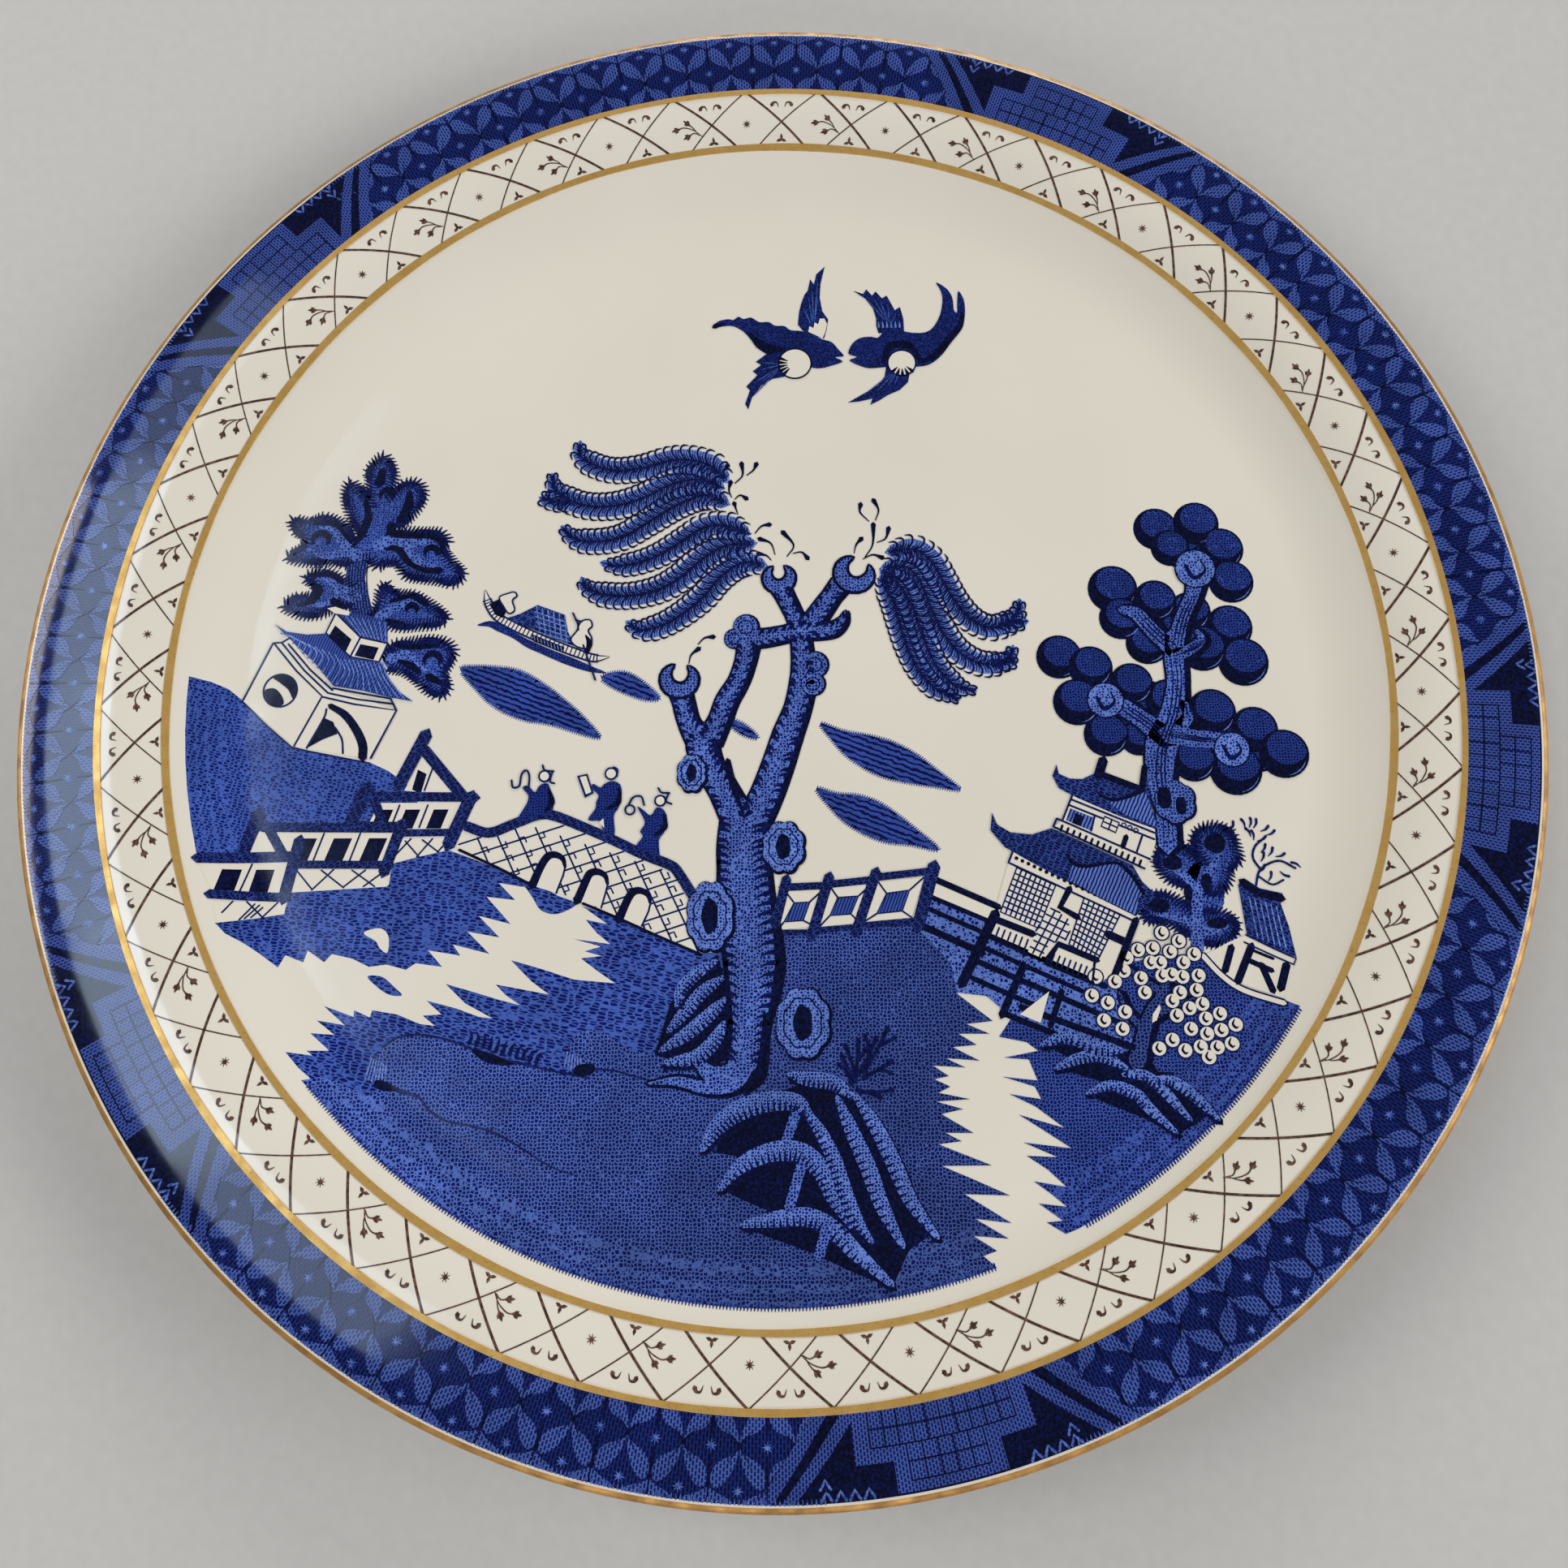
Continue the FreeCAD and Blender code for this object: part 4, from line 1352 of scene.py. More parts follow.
def boat():
    """A covered boat with a plaited rail and two figures."""
    piece = motif("boat")
    piece.blob([(-54.1, 10.9), (-52, 11.7), (-50, 11.2), (-47, 9.4), (-44, 7.8), (-40, 6), (-36, 4.4),
                (-33, 3), (-30.2, 1.7), (-33.6, 2), (-38, 3.5), (-42, 5.3), (-45, 6.7), (-47.5, 8.4),
                (-50.5, 9.8), (-52, 10.6)], FOLIAGE_DARK, 3)
    rail = smooth([(-53, 17.6), (-52.3, 15.2), (-50.6, 12.6), (-47.5, 10.7), (-44, 9), (-40, 7.2),
                   (-36, 5.6), (-32.6, 4.5), (-29.9, 4.7)])
    piece.stroke(rail, (0.3, 1.7, 1.8, 1.8, 1.8, 1.8, 1.8, 1.7, 0.3), DEEP_LINE, 4)
    piece.stroke(rail, (0.1, 1.0, 1.1, 1.1, 1.1, 1.1, 1.1, 1.0, 0.1), WHITE, 5)
    for index in range(4, len(rail) - 4):
        side = left_of(unit(rail[index + 1] - rail[index - 1]))
        piece.stroke([rail[index] - side * 0.8, rail[index] + side * 0.8], 0.22, DEEP_LINE, 6)
    piece.fill([(-49.4, 12.0), (-46.4, 13), (-43.2, 14.7), (-38.2, 12.8), (-37.5, 9.6), (-36.2, 6.8),
                (-40, 8.2), (-44, 10.1), (-48, 11.6)], ROOF_DARK, 5)
    for k in range(6):
        piece.stroke([(-43.4 + 1.05 * k, 14.4 - 0.36 * k), (-42.6 + 1.0 * k, 9.8 - 0.5 * k)], 0.2, PALE, 6)
    for k in range(5):
        piece.stroke([(-43.6 + 0.1 * k, 13.4 - 0.95 * k), (-38 + 0.25 * k, 11.4 - 0.95 * k)], 0.2, PALE, 6)
    piece.fill([(-44.2, 9.2), (-38, 6.6), (-38.2, 5.5), (-43.6, 7.7)], NAVY, 7)
    for k in range(9):
        piece.stroke([(-43.6 + 0.62 * k, 8.7 - 0.26 * k), (-43.4 + 0.62 * k, 7.9 - 0.26 * k)], 0.16, PALE, 8)
    piece.fill([(-52.1, 15), (-50.3, 15.9), (-49, 13.6), (-49.4, 12.2), (-50.9, 12.9)], NAVY, 6)
    for outline in (
        [(-50.3, 16.2), (-48.6, 17), (-47.6, 17.2), (-47.1, 16.5), (-47.9, 15.6), (-47.4, 13.8),
         (-48.4, 13.1), (-49.4, 14.4)],
        [(-36.9, 8), (-35.9, 9.6), (-35.4, 11), (-34.7, 11.7), (-33.5, 11.7), (-33.1, 10.6), (-33.8, 9.7),
         (-33.1, 8.2), (-33.4, 6.4), (-35.6, 6.6)],
    ):
        shape = smooth(outline, True, 4)
        piece.fill(shape, WHITE, 7)
        piece.stroke(shape, 0.3, DEEP_LINE, 8, True)
    piece.curve([(-34.2, 8.8), (-33.5, 7.4), (-33.8, 5.8)], (0.3, 1.1, 0.8), NAVY, 8)
    for path in ([(-36.7, 13.1), (-35.7, 11), (-35.6, 9.8)], [(-34.6, 7), (-33.4, 3.6), (-32.2, 0.4)],
                 [(-36.2, 11.8), (-35, 11.4)]):
        piece.stroke(path, 0.34, DEEP_LINE, 9)
    piece.build()


def frond(piece, spine, widest):
    """A hanging willow frond: a midrib with leaves that curl back on both sides."""
    gap = 1.4
    path = smooth(spine, False, 8)
    along = distances(path)
    length = along[-1]
    body = widest * np.interp(along / length, (0, 0.1, 0.3, 0.85, 1), (0.6, 1.0, 1.0, 0.84, 0.3))
    piece.stroke(path, body * 0.86, FROND, 3)

    def on_spine(place):
        return np.array([np.interp(place, along, path[:, 0]), np.interp(place, along, path[:, 1])])

    for place in np.arange(0.5, length - 0.1, gap):
        spot = on_spine(place)
        way = unit(on_spine(place + 0.3) - on_spine(place - 0.3))
        half = np.interp(place, along, body) / 2
        for side in (-1, 1):
            out = left_of(way) * side * half
            leaf_edge = ((0, -0.2), (0.5, 0.55), (0.92, 0.7), (1.16, 0.25), (1.16, -0.7))
            piece.curve([spot + out * across + way * ahead for across, ahead in leaf_edge],
                        (0.34, 0.34, 0.34, 0.4, 0.14), NAVY_LEAF, 5, 3)
            for shift in (-0.42, -0.86):
                vein = ((0.06, shift - 0.1), (0.4, shift + 0.4), (0.78, shift + 0.45))
                piece.curve([spot + out * across + way * ahead for across, ahead in vein],
                            (0.28, 0.22, 0.08), NAVY_LEAF, 4, 2)
    piece.stroke(path, (0.3, 0.4, 0.3), NAVY_LEAF, 6)


def drop(piece, path):
    """A fine stem that ends in a drop."""
    piece.curve(path, (0.18, 0.26, 0.42, 0.95), NAVY, 4, 6)


def willow_left():
    """The willow's fronds and drops on the left."""
    piece = motif("willow_left")
    for spine, widest in (
        ([(-9.4, 39.4), (-12, 42), (-16, 43.2), (-20, 43), (-25, 41.6), (-30, 41.2), (-34, 42.4),
          (-36.6, 44.4), (-36.6, 46.8)], 5.0),
        ([(-10.4, 37.8), (-14, 39.2), (-19, 38.4), (-24, 35.8), (-29, 34.2), (-34, 34), (-38, 35.2),
          (-41, 37.4), (-41.6, 40.2)], 5.2),
        ([(-9.4, 34.6), (-13, 36), (-18, 34.2), (-23, 31), (-28, 27.9), (-33, 27), (-37, 27.6),
          (-39.2, 29.8)], 5.0),
        ([(-5.4, 28.6), (-9, 30), (-13, 29.6), (-17, 27), (-21, 24.4), (-25, 22.8), (-29, 22.2),
          (-31.6, 22.8)], 4.6),
        ([(-4.4, 26.4), (-9, 26), (-13, 23.6), (-17, 20), (-21, 17.6), (-26, 16.4), (-31, 16.6), (-34.4, 18),
          (-35.2, 19.6)], 5.0),
        ([(-2.4, 22.2), (-6, 22.6), (-10, 19.8), (-13, 16), (-17, 12.6), (-21, 10.4), (-24.6, 9.8),
          (-26.6, 11.2)], 4.8),
        ([(-38.4, 34.8), (-41, 35), (-43.6, 35.8)], 3.4),
    ):
        frond(piece, spine, widest)
    for path in (
        [(-9.4, 39.8), (-9.4, 41), (-8.8, 42)], [(-7.4, 38.4), (-6, 40), (-6.2, 42.4)],
        [(-5.2, 40), (-4, 41), (-3.4, 42.3)], [(-8, 35.6), (-8.5, 37), (-8.2, 38.7)],
        [(-7.4, 35.2), (-6.4, 36), (-5.2, 35.3)], [(-6.8, 32.2), (-7.2, 33.4), (-7.5, 34.4)],
        [(-3.6, 28.4), (-2.4, 29.8), (-0.9, 30.1)], [(0.1, 24.2), (-0.7, 26.4), (-2.8, 27.3)],
        [(-0.6, 23.1), (-1.5, 24), (-3, 24.4)], [(2.3, 23.8), (3.5, 26), (1.5, 28.6)],
        [(-15.4, 3.4), (-15, 5), (-13.6, 6.2)], [(-13.8, 7), (-12.6, 8.2), (-11, 8.4)],
    ):
        drop(piece, path)
    piece.build()


def bough(piece, path, widths, ticks=True, level=5, tone=BARK):
    """A branch: dark outline, heavier on the right, with short bark ticks inside its edges."""
    line = smooth(path, False, 6)
    edge = np.array(widths, dtype=float)
    piece.stroke(line, edge + 0.8, NAVY, level)
    piece.stroke(line + np.array((0.5, -0.15)), edge + 0.7, NAVY, level)
    piece.stroke(line - np.array((0.15, -0.05)), np.maximum(edge - 0.3, 0.3), tone, level + 1)
    if not ticks:
        return
    half = shared_out(edge, len(line)) / 2
    way = headings(line)
    across = left_of(way)
    along = distances(line)
    for place in np.arange(0.6, along[-1], 1.5):
        index = int(np.searchsorted(along, place))
        for side in (-1, 1):
            reach = half[index] * (0.62 if side * across[index][0] > 0 else 0.46)
            rim = line[index] + side * across[index] * (half[index] - 0.1)
            piece.curve([rim, rim - side * across[index] * reach * 0.6 - way[index] * 0.25,
                         rim - side * across[index] * reach - way[index] * 0.8], (1.0, 0.5, 0.12),
                        NAVY_LEAF, level + 2, 3)


def scalloped(x, y, wide, high, lobes):
    """An oval whose edge swells into rounded lobes."""
    points = []
    for k in range(lobes * 6):
        angle = 360 * k / (lobes * 6)
        swell = 1 + 0.11 * abs(sin(lobes * angle / 2))
        points.append((x + wide * swell * cos(angle), y + high * swell * sin(angle)))
    return points


def knot(piece, x, y, wide, high):
    """A big knot in the bark, with a dark hollow."""
    piece.fill(scalloped(x + 0.2, y - 0.2, wide + 0.35, high + 0.35, 8), NAVY, 8)
    piece.fill(scalloped(x, y, wide, high, 8), BARK_LIGHT, 9)
    piece.stroke(scalloped(x, y, wide * 0.72, high * 0.72, 8), 0.25, NAVY_LEAF, 10, True)
    piece.fill(scalloped(x, y, wide * 0.36, high * 0.52, 5), NAVY, 10)


def hook(piece, x, y, radius, start, end, width):
    """A broken branch end, curled like a hook."""
    count = 16
    path = arc(x, y, radius, [start + (end - start) * k / count for k in range(count + 1)])
    taper = np.array((0.2, 0.75, 1.0, 1.05, 1.0, 0.75, 0.15)) * width
    piece.stroke(path, taper + 0.6, NAVY, 6)
    piece.stroke(path, np.maximum(taper - 0.5, 0.08), BARK, 7)


def willow_trunk():
    """The willow's trunk, its main branches and the knots in its bark."""
    piece = motif("willow_trunk")
    for path, widths in (
        ([(-13.6, -10.6), (-15.4, -7.4), (-16.4, -3.8), (-17, -1.8)], (4.2, 3.2, 3.2, 3.6)),
        ([(-11.6, -11), (-9.8, -7), (-8.6, -3.6), (-6.6, 0), (-5.4, 3.6), (-4.8, 7)],
         (4, 3.4, 3.4, 3.0, 3.0, 3.4)),
        ([(-4.6, 8), (-1.6, 8.2), (1.6, 8.8), (4.4, 9.4), (7.4, 9.4), (10.4, 9.7), (12.2, 11.2), (12.9, 13)],
         (3.4, 3.0, 2.8, 3.0, 3.0, 2.6, 1.6, 0.2)),
        ([(-6, -26), (-9, -20), (-11.6, -15.6), (-12.8, -12), (-12.6, -9.8)], (5.4, 4.6, 4.6, 5.2, 4.4)),
        ([(-4, -26), (-1.6, -21), (0.4, -15.6), (2.2, -10), (4, -5), (5, 0), (5.0, 4), (4.6, 8.6)],
         (5.4, 5, 4.8, 4.6, 4, 4, 3.4, 3.0)),
        ([(4.6, 9.6), (3.4, 12.6), (1.8, 16), (0.9, 17.8)], (3, 2.6, 2.8, 3.2)),
        ([(5.6, 9.4), (8, 12.8), (10.2, 16), (12, 18.4)], (3.6, 3.4, 3.0, 3.4)),
    ):
        bough(piece, path, widths)
    for curl in (
        (-17.0, 0.8, 2.5, 118, 412, 2.7), (0.8, 20.0, 2.1, 128, 418, 2.5), (14.8, 20.8, 2.7, 102, 382, 2.9),
    ):
        hook(piece, *curl)
    for x, y, size in ((-5.2, 10.2, 2.2), (-7.3, 8, 1.7), (7.2, 3, 2.3), (6.9, -0.6, 2.0)):
        piece.fill(circle(x + 0.15, y, size + 0.3, 18), NAVY, 6)
        piece.fill(circle(x, y, size, 18), BARK, 7)
        piece.stroke(circle(x, y, size * 0.6, 12), 0.22, NAVY_LEAF, 8, True)
    for path, widths, ticks in (
        ([(-13, -66), (-10, -68.6), (-6, -68), (-4.9, -64)], (1.6, 3.2, 4.2, 5.4), False),
        ([(-21, -70.0), (-16, -69.6), (-11, -70.6), (-6.4, -69.4), (-4.8, -65)], (0.3, 1.8, 2.4, 3.6, 5.0),
         False),
        ([(-4.9, -67), (-4.3, -60), (-3.9, -50), (-4.7, -40), (-5.5, -31), (-5.4, -25)],
         (5.0, 6.6, 8.8, 8.8, 8.4, 7.6), True),
    ):
        bough(piece, path, widths, ticks)
    for path, widths, level in (
        ([(0.3, -40), (0.9, -46), (1.2, -51), (0.2, -57), (-1.4, -62)], (0.6, 1.6, 1.8, 1.5, 0.4), 7),
        ([(-9.6, -30), (-9.5, -40), (-8.3, -50), (-7.3, -60), (-7.6, -66)], (0.6, 0.9, 0.9, 0.9, 0.4), 7),
        ([(-8.2, -14.6), (-7.2, -19), (-5.6, -23.6)], (1.0, 1.3, 0.5), 8),
        ([(-1.6, -58), (-1.4, -63), (-2.2, -68.6), (-4.6, -71.6)], (0.3, 1.7, 2.2, 0.6), 7),
    ):
        piece.curve(path, widths, NAVY, level)
    for x, y, wide, high in (
        (-14.6, -16.8, 2.3, 3.0), (1.6, -30.0, 3.3, 4.1), (-11.0, -42.0, 3.7, 5.5), (4.9, -60.0, 4.2, 5.4),
    ):
        knot(piece, x, y, wide, high)
    piece.build()


def cord(piece, path, width, level):
    """A rounded rock or root: pale along its back, ticked below, dark underneath."""
    line = smooth(path, False, 5)
    shape = np.array((0.35, 0.85, 1.0, 1.0, 0.85, 0.35)) * width
    piece.stroke(line + np.array((0.2, -0.45)), shape + 0.5, NAVY, level)
    piece.stroke(line, shape, BARK_LIGHT, level + 1)
    across = left_of(headings(line))
    along = distances(line)
    for place in np.arange(0.5, along[-1], 0.85):
        index = int(np.searchsorted(along, place))
        down = across[index] * (-1 if across[index][1] > 0 else 1)
        piece.stroke([line[index] + down * width * share for share in (-0.05, 0.26, 0.52)],
                     (0.1, 0.38, 0.5), NAVY_LEAF, level + 2)


def willow_roots():
    """Rounded rocks and roots that spill from the foot of the willow."""
    piece = motif("willow_roots")
    piece.fill([(-9.6, -48.6), (-14.5, -52), (-17.6, -57), (-19, -62), (-20, -65.2), (-12, -68), (-7.6, -66),
                (-7.4, -56)], NAVY, 4)
    for path, width in (
        ([(-9.8, -49.6), (-13, -51.6), (-15.6, -54.4), (-16.4, -57.4)], 2.2),
        ([(-8.6, -52.4), (-12, -54.8), (-14.8, -58), (-17.8, -61.4)], 2.3),
        ([(-8.2, -56), (-11, -58.8), (-14.6, -61.8), (-19, -64.6)], 2.4),
        ([(-8.4, -60), (-10, -63), (-13, -65.6), (-18.4, -66.6)], 2.5),
    ):
        cord(piece, path, width, 5)
    piece.fill([(-9.6, -81), (-8, -76.4), (-2, -72), (5, -70), (12, -70), (16, -74), (21, -83), (26.5, -93),
                (22, -96), (19, -101.6), (12, -99), (6, -96.4), (0, -94.4), (-4.6, -92.6), (-1, -90),
                (-5, -88.4), (-8.4, -86.8), (-5, -83), (-6, -81.6)], NAVY, 4)
    for path, width in (
        ([(2.6, -68.4), (6, -69.2), (10, -69.8), (13, -72)], 2.6),
        ([(-11.8, -80.4), (-9.4, -77), (-6, -74.4), (-1, -72.8), (3.8, -73), (6, -75)], 3.4),
        ([(4.8, -73.6), (7.6, -77.4), (10, -82), (11.6, -86.6), (13.6, -91.4), (16, -94.8)], 2.4),
        ([(-8.8, -86.6), (-5, -82.8), (0, -80.8), (4.6, -81), (8, -84), (10.2, -88.4), (13, -92.6)], 3.3),
        ([(-5, -92.2), (0, -91.4), (5.4, -91), (9.6, -92.8), (13.6, -96.6), (19, -101)], 3.0),
        ([(10.6, -72.2), (13, -77.6), (15.6, -83.4), (17.8, -89.4), (21, -95.4)], 2.7),
        ([(13.4, -71.6), (16.8, -76.6), (19.8, -82.6), (22.4, -88.4), (26.6, -94)], 2.6),
    ):
        cord(piece, path, width, 5)
    for path in (
        [(3.6, -75), (2.2, -79)], [(4.6, -83), (2.6, -89.6)], [(8.8, -92.4), (7.4, -97)],
    ):
        piece.stroke(path, 1.7, BARK, 8)
    for x, y, end_x, end_y in (
        (13, -70, 11.4, -65.4), (12.6, -68.6, 10.8, -66.8), (13.4, -69, 14.2, -62.8), (14, -66, 15.4, -64.2),
        (14, -68.6, 17.2, -62.4), (16, -65, 15.2, -62), (15, -68, 19.2, -60.8), (18.2, -63.4, 20.4, -62.4),
        (15, -69, 19.8, -66.2), (17.6, -67.6, 19.6, -68.2), (14, -71, 17.8, -72.2), (16, -71.4, 19.8, -71),
        (13.6, -69.6, 12, -63.6),
    ):
        piece.stroke([(x, y), ((x + end_x) / 2 + 0.3, (y + end_y) / 2), (end_x, end_y)], (0.9, 0.45, 0.75),
                     NAVY_LEAF, 9)
    piece.build()


def near_water():
    """Hatched reflections between the bridge and the foreground."""
    piece = motif("near_water")
    torn = [(-79.4, -67.4), (-81.8, -64.8), (-77.6, -65.4), (-78.6, -64.6), (-75, -64.6), (-78.4, -61.7),
            (-74.4, -62), (-77.6, -59.6), (-72.8, -60.4), (-76.6, -57.2), (-71.4, -59.0), (-71.4, -57.9),
            (-68.6, -59.1), (-68.3, -57.9), (-64, -58.6), (-60, -60.2), (-57.4, -60.5), (-59.6, -58.8),
            (-56.4, -58.6), (-59.1, -56.3), (-54, -57.6), (-50, -59.0), (-47.6, -59.3), (-52.4, -56.8),
            (-56, -53.5), (-51, -54.9), (-46.6, -56.2), (-43, -57.1), (-45.6, -55.4), (-47.4, -53.6),
            (-43, -54.4), (-38.2, -55.3), (-41.4, -53), (-45, -49.5), (-40, -50.9), (-34, -52.8),
            (-27, -53.4), (-30, -51.4), (-33, -49.2), (-29.4, -48.8), (-32.4, -48.0), (-29.6, -47.2),
            (-34.3, -45.9), (-28, -46.8), (-30.4, -44.9), (-32.4, -42.6), (-28.6, -43.4), (-33.2, -40.2)]
    piece.fill(torn + [(-26, -42.7), (-12.4, -48.4), (-8.4, -48), (-8.4, -52), (-13.6, -52), (-17, -57),
                       (-19.5, -65), (-20, -70), (-45, -71), (-64, -73), (-73, -72.6)], WATER, 1)
    piece.blob([(-43.6, -36.0), (-40, -37), (-37.5, -38.4), (-34.2, -39.8), (-36.4, -41.3), (-38.4, -41.6),
                (-40.4, -40.8), (-41.6, -39), (-42.6, -37.6)], WATER, 2)
    piece.build()


def foreground():
    """The stippled bank in front, with its torn edge to the channel."""
    piece = motif("foreground")
    bank = [(-78.6, -69.4), (-76, -68.9), (-73.4, -69.3), (-70.4, -71), (-68, -72), (-66, -70.6),
            (-67.4, -68.2), (-67, -65.8), (-65.4, -63.2), (-62.6, -62.2), (-58.8, -62.2), (-55, -62.9),
            (-51.6, -64), (-48.4, -65.4), (-44, -66.6), (-40.6, -66.9), (-37.4, -67.9), (-34.2, -69.1),
            (-30.4, -68.4), (-33.4, -66.2), (-34.6, -64.2), (-33.6, -62), (-31.2, -61), (-28.4, -61.6),
            (-25.8, -63.4), (-23, -64.8), (-19, -65), (-12, -66), (-6, -60), (0, -44.6), (12, -44.2),
            (25, -42.8), (35, -48), (31, -55.2)]
    torn = [(36.8, -59.7), (32.4, -60.2), (36.2, -61.8), (31, -61.8), (34, -63.6), (30, -64), (34.4, -66.2),
            (28.8, -65.8), (32, -67.3), (26.6, -67), (29.2, -68.7), (26.8, -69.2), (29.4, -70.4),
            (27.4, -71.4), (32.6, -72.4), (27, -72.8), (31.4, -74), (27.8, -74.8), (33, -77.8), (28.4, -77.8),
            (31, -79.1), (27.2, -79.6), (35.8, -82.9), (27.6, -83), (33, -85.2), (38.6, -87.6), (31.2, -87.4),
            (38.6, -91.8), (32.8, -91.2), (38, -94.1), (32.4, -93.8), (36, -95.9), (33.8, -96.7)]
    piece.fill(bank + torn + [polar(LAND_EDGE, angle) for angle in range(-70, -139, -3)], FORE, 3)
    edge = [polar(LAND_FRINGE, angle) for angle in range(-70, -139, -1)]
    fringe(piece, edge, 0.5, 0.55, 8, FORE_EDGE, 3, 0.28)
    piece.curve([(-66, -64), (-63.5, -62.4), (-60, -62), (-56, -62.6), (-52, -63.9), (-48, -65.5),
                 (-42, -66.8), (-37, -67.9), (-31, -69)], 0.4, DEEP_LINE, 4)
    piece.curve([(-30, -67.6), (-27, -67.8), (-24.6, -68.4), (-21, -69.4)], 0.3, DEEP_LINE, 4)
    piece.curve([(-65.4, -70.2), (-62, -71.4), (-59.4, -72.2), (-57.6, -74.2), (-54.6, -76), (-50.6, -76.8),
                 (-47, -77.7), (-43, -79.6), (-39.4, -81.8), (-36, -83.6), (-33, -84.5)],
                (0.9, 0.5, 0.4, 0.4, 0.3, 0.2), DEEP_LINE, 4)
    piece.blob([(-51, -64.4), (-48, -64.9), (-44.8, -66.2), (-43.4, -66.8), (-46, -67), (-49, -66.2)],
               NAVY, 5)
    piece.blob([(-66.8, -69.4), (-64.8, -69.8), (-63.2, -71), (-65, -71.2), (-66.8, -70.6)], NAVY, 5)
    piece.blob([(-33, -67), (-30.4, -66.8), (-30, -68), (-32, -68.8), (-33.6, -68.2)], NAVY, 5)
    for k in range(7):
        piece.stroke([(-67.8 + 0.42 * k, -65.8 - 0.2 * k), (-68.6 + 0.55 * k, -69.2 - 0.2 * k)], 0.22,
                     PALE, 4)
    for k in range(6):
        piece.stroke([(-34.7 + 0.45 * k, -64.8 - 0.2 * k), (-35.1 + 0.55 * k, -67.2 - 0.25 * k)], 0.22,
                     PALE, 4)
    for k in range(11):
        x, y = -51.4 + 1.15 * k, -63.4 - 0.32 * k
        piece.curve([(x, y), (x + 0.35, y + 1.2), (x - 0.1 + 0.16 * k, y + 2.3 - 0.06 * k)], (0.7, 0.5, 0.15),
                    NAVY_LEAF, 4)
    piece.build()


def panel_fence():
    """A straight fence of three panels, then plain rails to the tea house."""
    piece = motif("panel_fence")
    for outer, inner in (
        ([(2.0, -37.8), (8.6, -37.4), (7.0, -43.8), (0.7, -44.4)],
         [(3.5, -39.8), (6.2, -39.6), (5.0, -42.8), (1.7, -43.1)]),
        ([(9.7, -37.0), (16.8, -36.6), (14.7, -43.2), (7.8, -43.9)],
         [(11, -38.9), (14.6, -38.6), (13.2, -41.7), (9.6, -42)]),
        ([(18.0, -36.2), (25.9, -35.4), (23.6, -42.3), (15.4, -43.1)],
         [(19.4, -38.2), (23.4, -37.6), (22, -41.2), (17.6, -41.7)]),
    ):
        piece.fill(outer, WHITE, 4)
        piece.fill(inner, ROOF, 5)
        piece.stroke(inner, 0.3, DEEP_LINE, 6, True)
        for corner, middle in zip(outer, inner):
            piece.stroke([corner, middle], 0.3, DEEP_LINE, 6)
    for path, width in (
        ([(1.4, -37.1), (9, -36.8)], 1.3), ([(9.6, -36.6), (17.2, -35.8)], 1.3),
        ([(17.6, -35.4), (27.4, -34.3)], 1.3), ([(0.4, -44.9), (7, -44.8)], 1.0),
        ([(7, -44.5), (14.4, -43.9)], 1.0), ([(14.8, -43.7), (24.6, -42.9)], 1.1),
        ([(2.2, -35.6), (0.2, -43.6)], 1.7), ([(9.6, -35.2), (6.4, -45.6)], 1.8),
        ([(17.7, -34.4), (14, -45)], 1.8), ([(27.7, -33.4), (24.6, -44)], 2.2),
    ):
        piece.stroke(path, width, WOVEN, 7)
    piece.fill([(26.4, -38.2), (37.4, -43.6), (56, -52), (59.6, -57.4), (60, -64), (48, -62.4), (40.5, -59.6),
                (36, -55.6), (31, -55), (30, -50), (25, -44.6)], PATH, 4)
    piece.fill([(27.8, -36.4), (38, -40.8), (36.6, -43), (27.2, -38.4)], WHITE, 4)
    for path, width in (
        ([(27.8, -35.8), (38.6, -40.6)], 1.1), ([(27, -38.8), (36.8, -43)], 0.8),
        ([(26.4, -40.8), (36.4, -45.2)], 0.8), ([(25, -43.6), (35.6, -48.4)], 1.2),
        ([(37, -45.6), (56, -54)], 1.0), ([(35.6, -47.4), (57, -57)], 0.8), ([(34.6, -49.8), (58, -60)], 1.0),
        ([(33.6, -52.6), (45, -57.6)], 0.9), ([(41.6, -57.4), (60, -64)], 1.1),
        ([(38.6, -58.4), (48, -62.2)], 1.0), ([(38, -41.6), (31.8, -53.6)], 1.7),
        ([(42.4, -50.4), (38.4, -58.8)], 1.3), ([(48.6, -54.8), (46.4, -60.6)], 1.0),
    ):
        piece.stroke(path, width, NAVY, 6)
    piece.fill([(46.5, -54.8), (41.4, -58.6), (44.8, -60)], WHITE, 7)
    piece.build()


def ball(piece, x, y, radius, level):
    """A ball of foliage, lit from the upper right."""
    piece.fill(circle(x, y, radius + 0.25, 26), NAVY, level)
    lit = []
    for angle in range(0, 360, 14):
        across, up = 0.86 * cos(angle) + 0.16, 0.76 * sin(angle) + 0.30
        reach = max(1.0, math.hypot(across, up) / 0.97)
        lit.append((x + radius * across / reach, y + radius * up / reach))
    piece.fill(lit, BALL, level + 0.10)
    piece.stroke(arc(x, y, radius - 0.25, range(-80, -19, 10)), (0.05, 0.2, 0.05), PALE, level + 0.12)


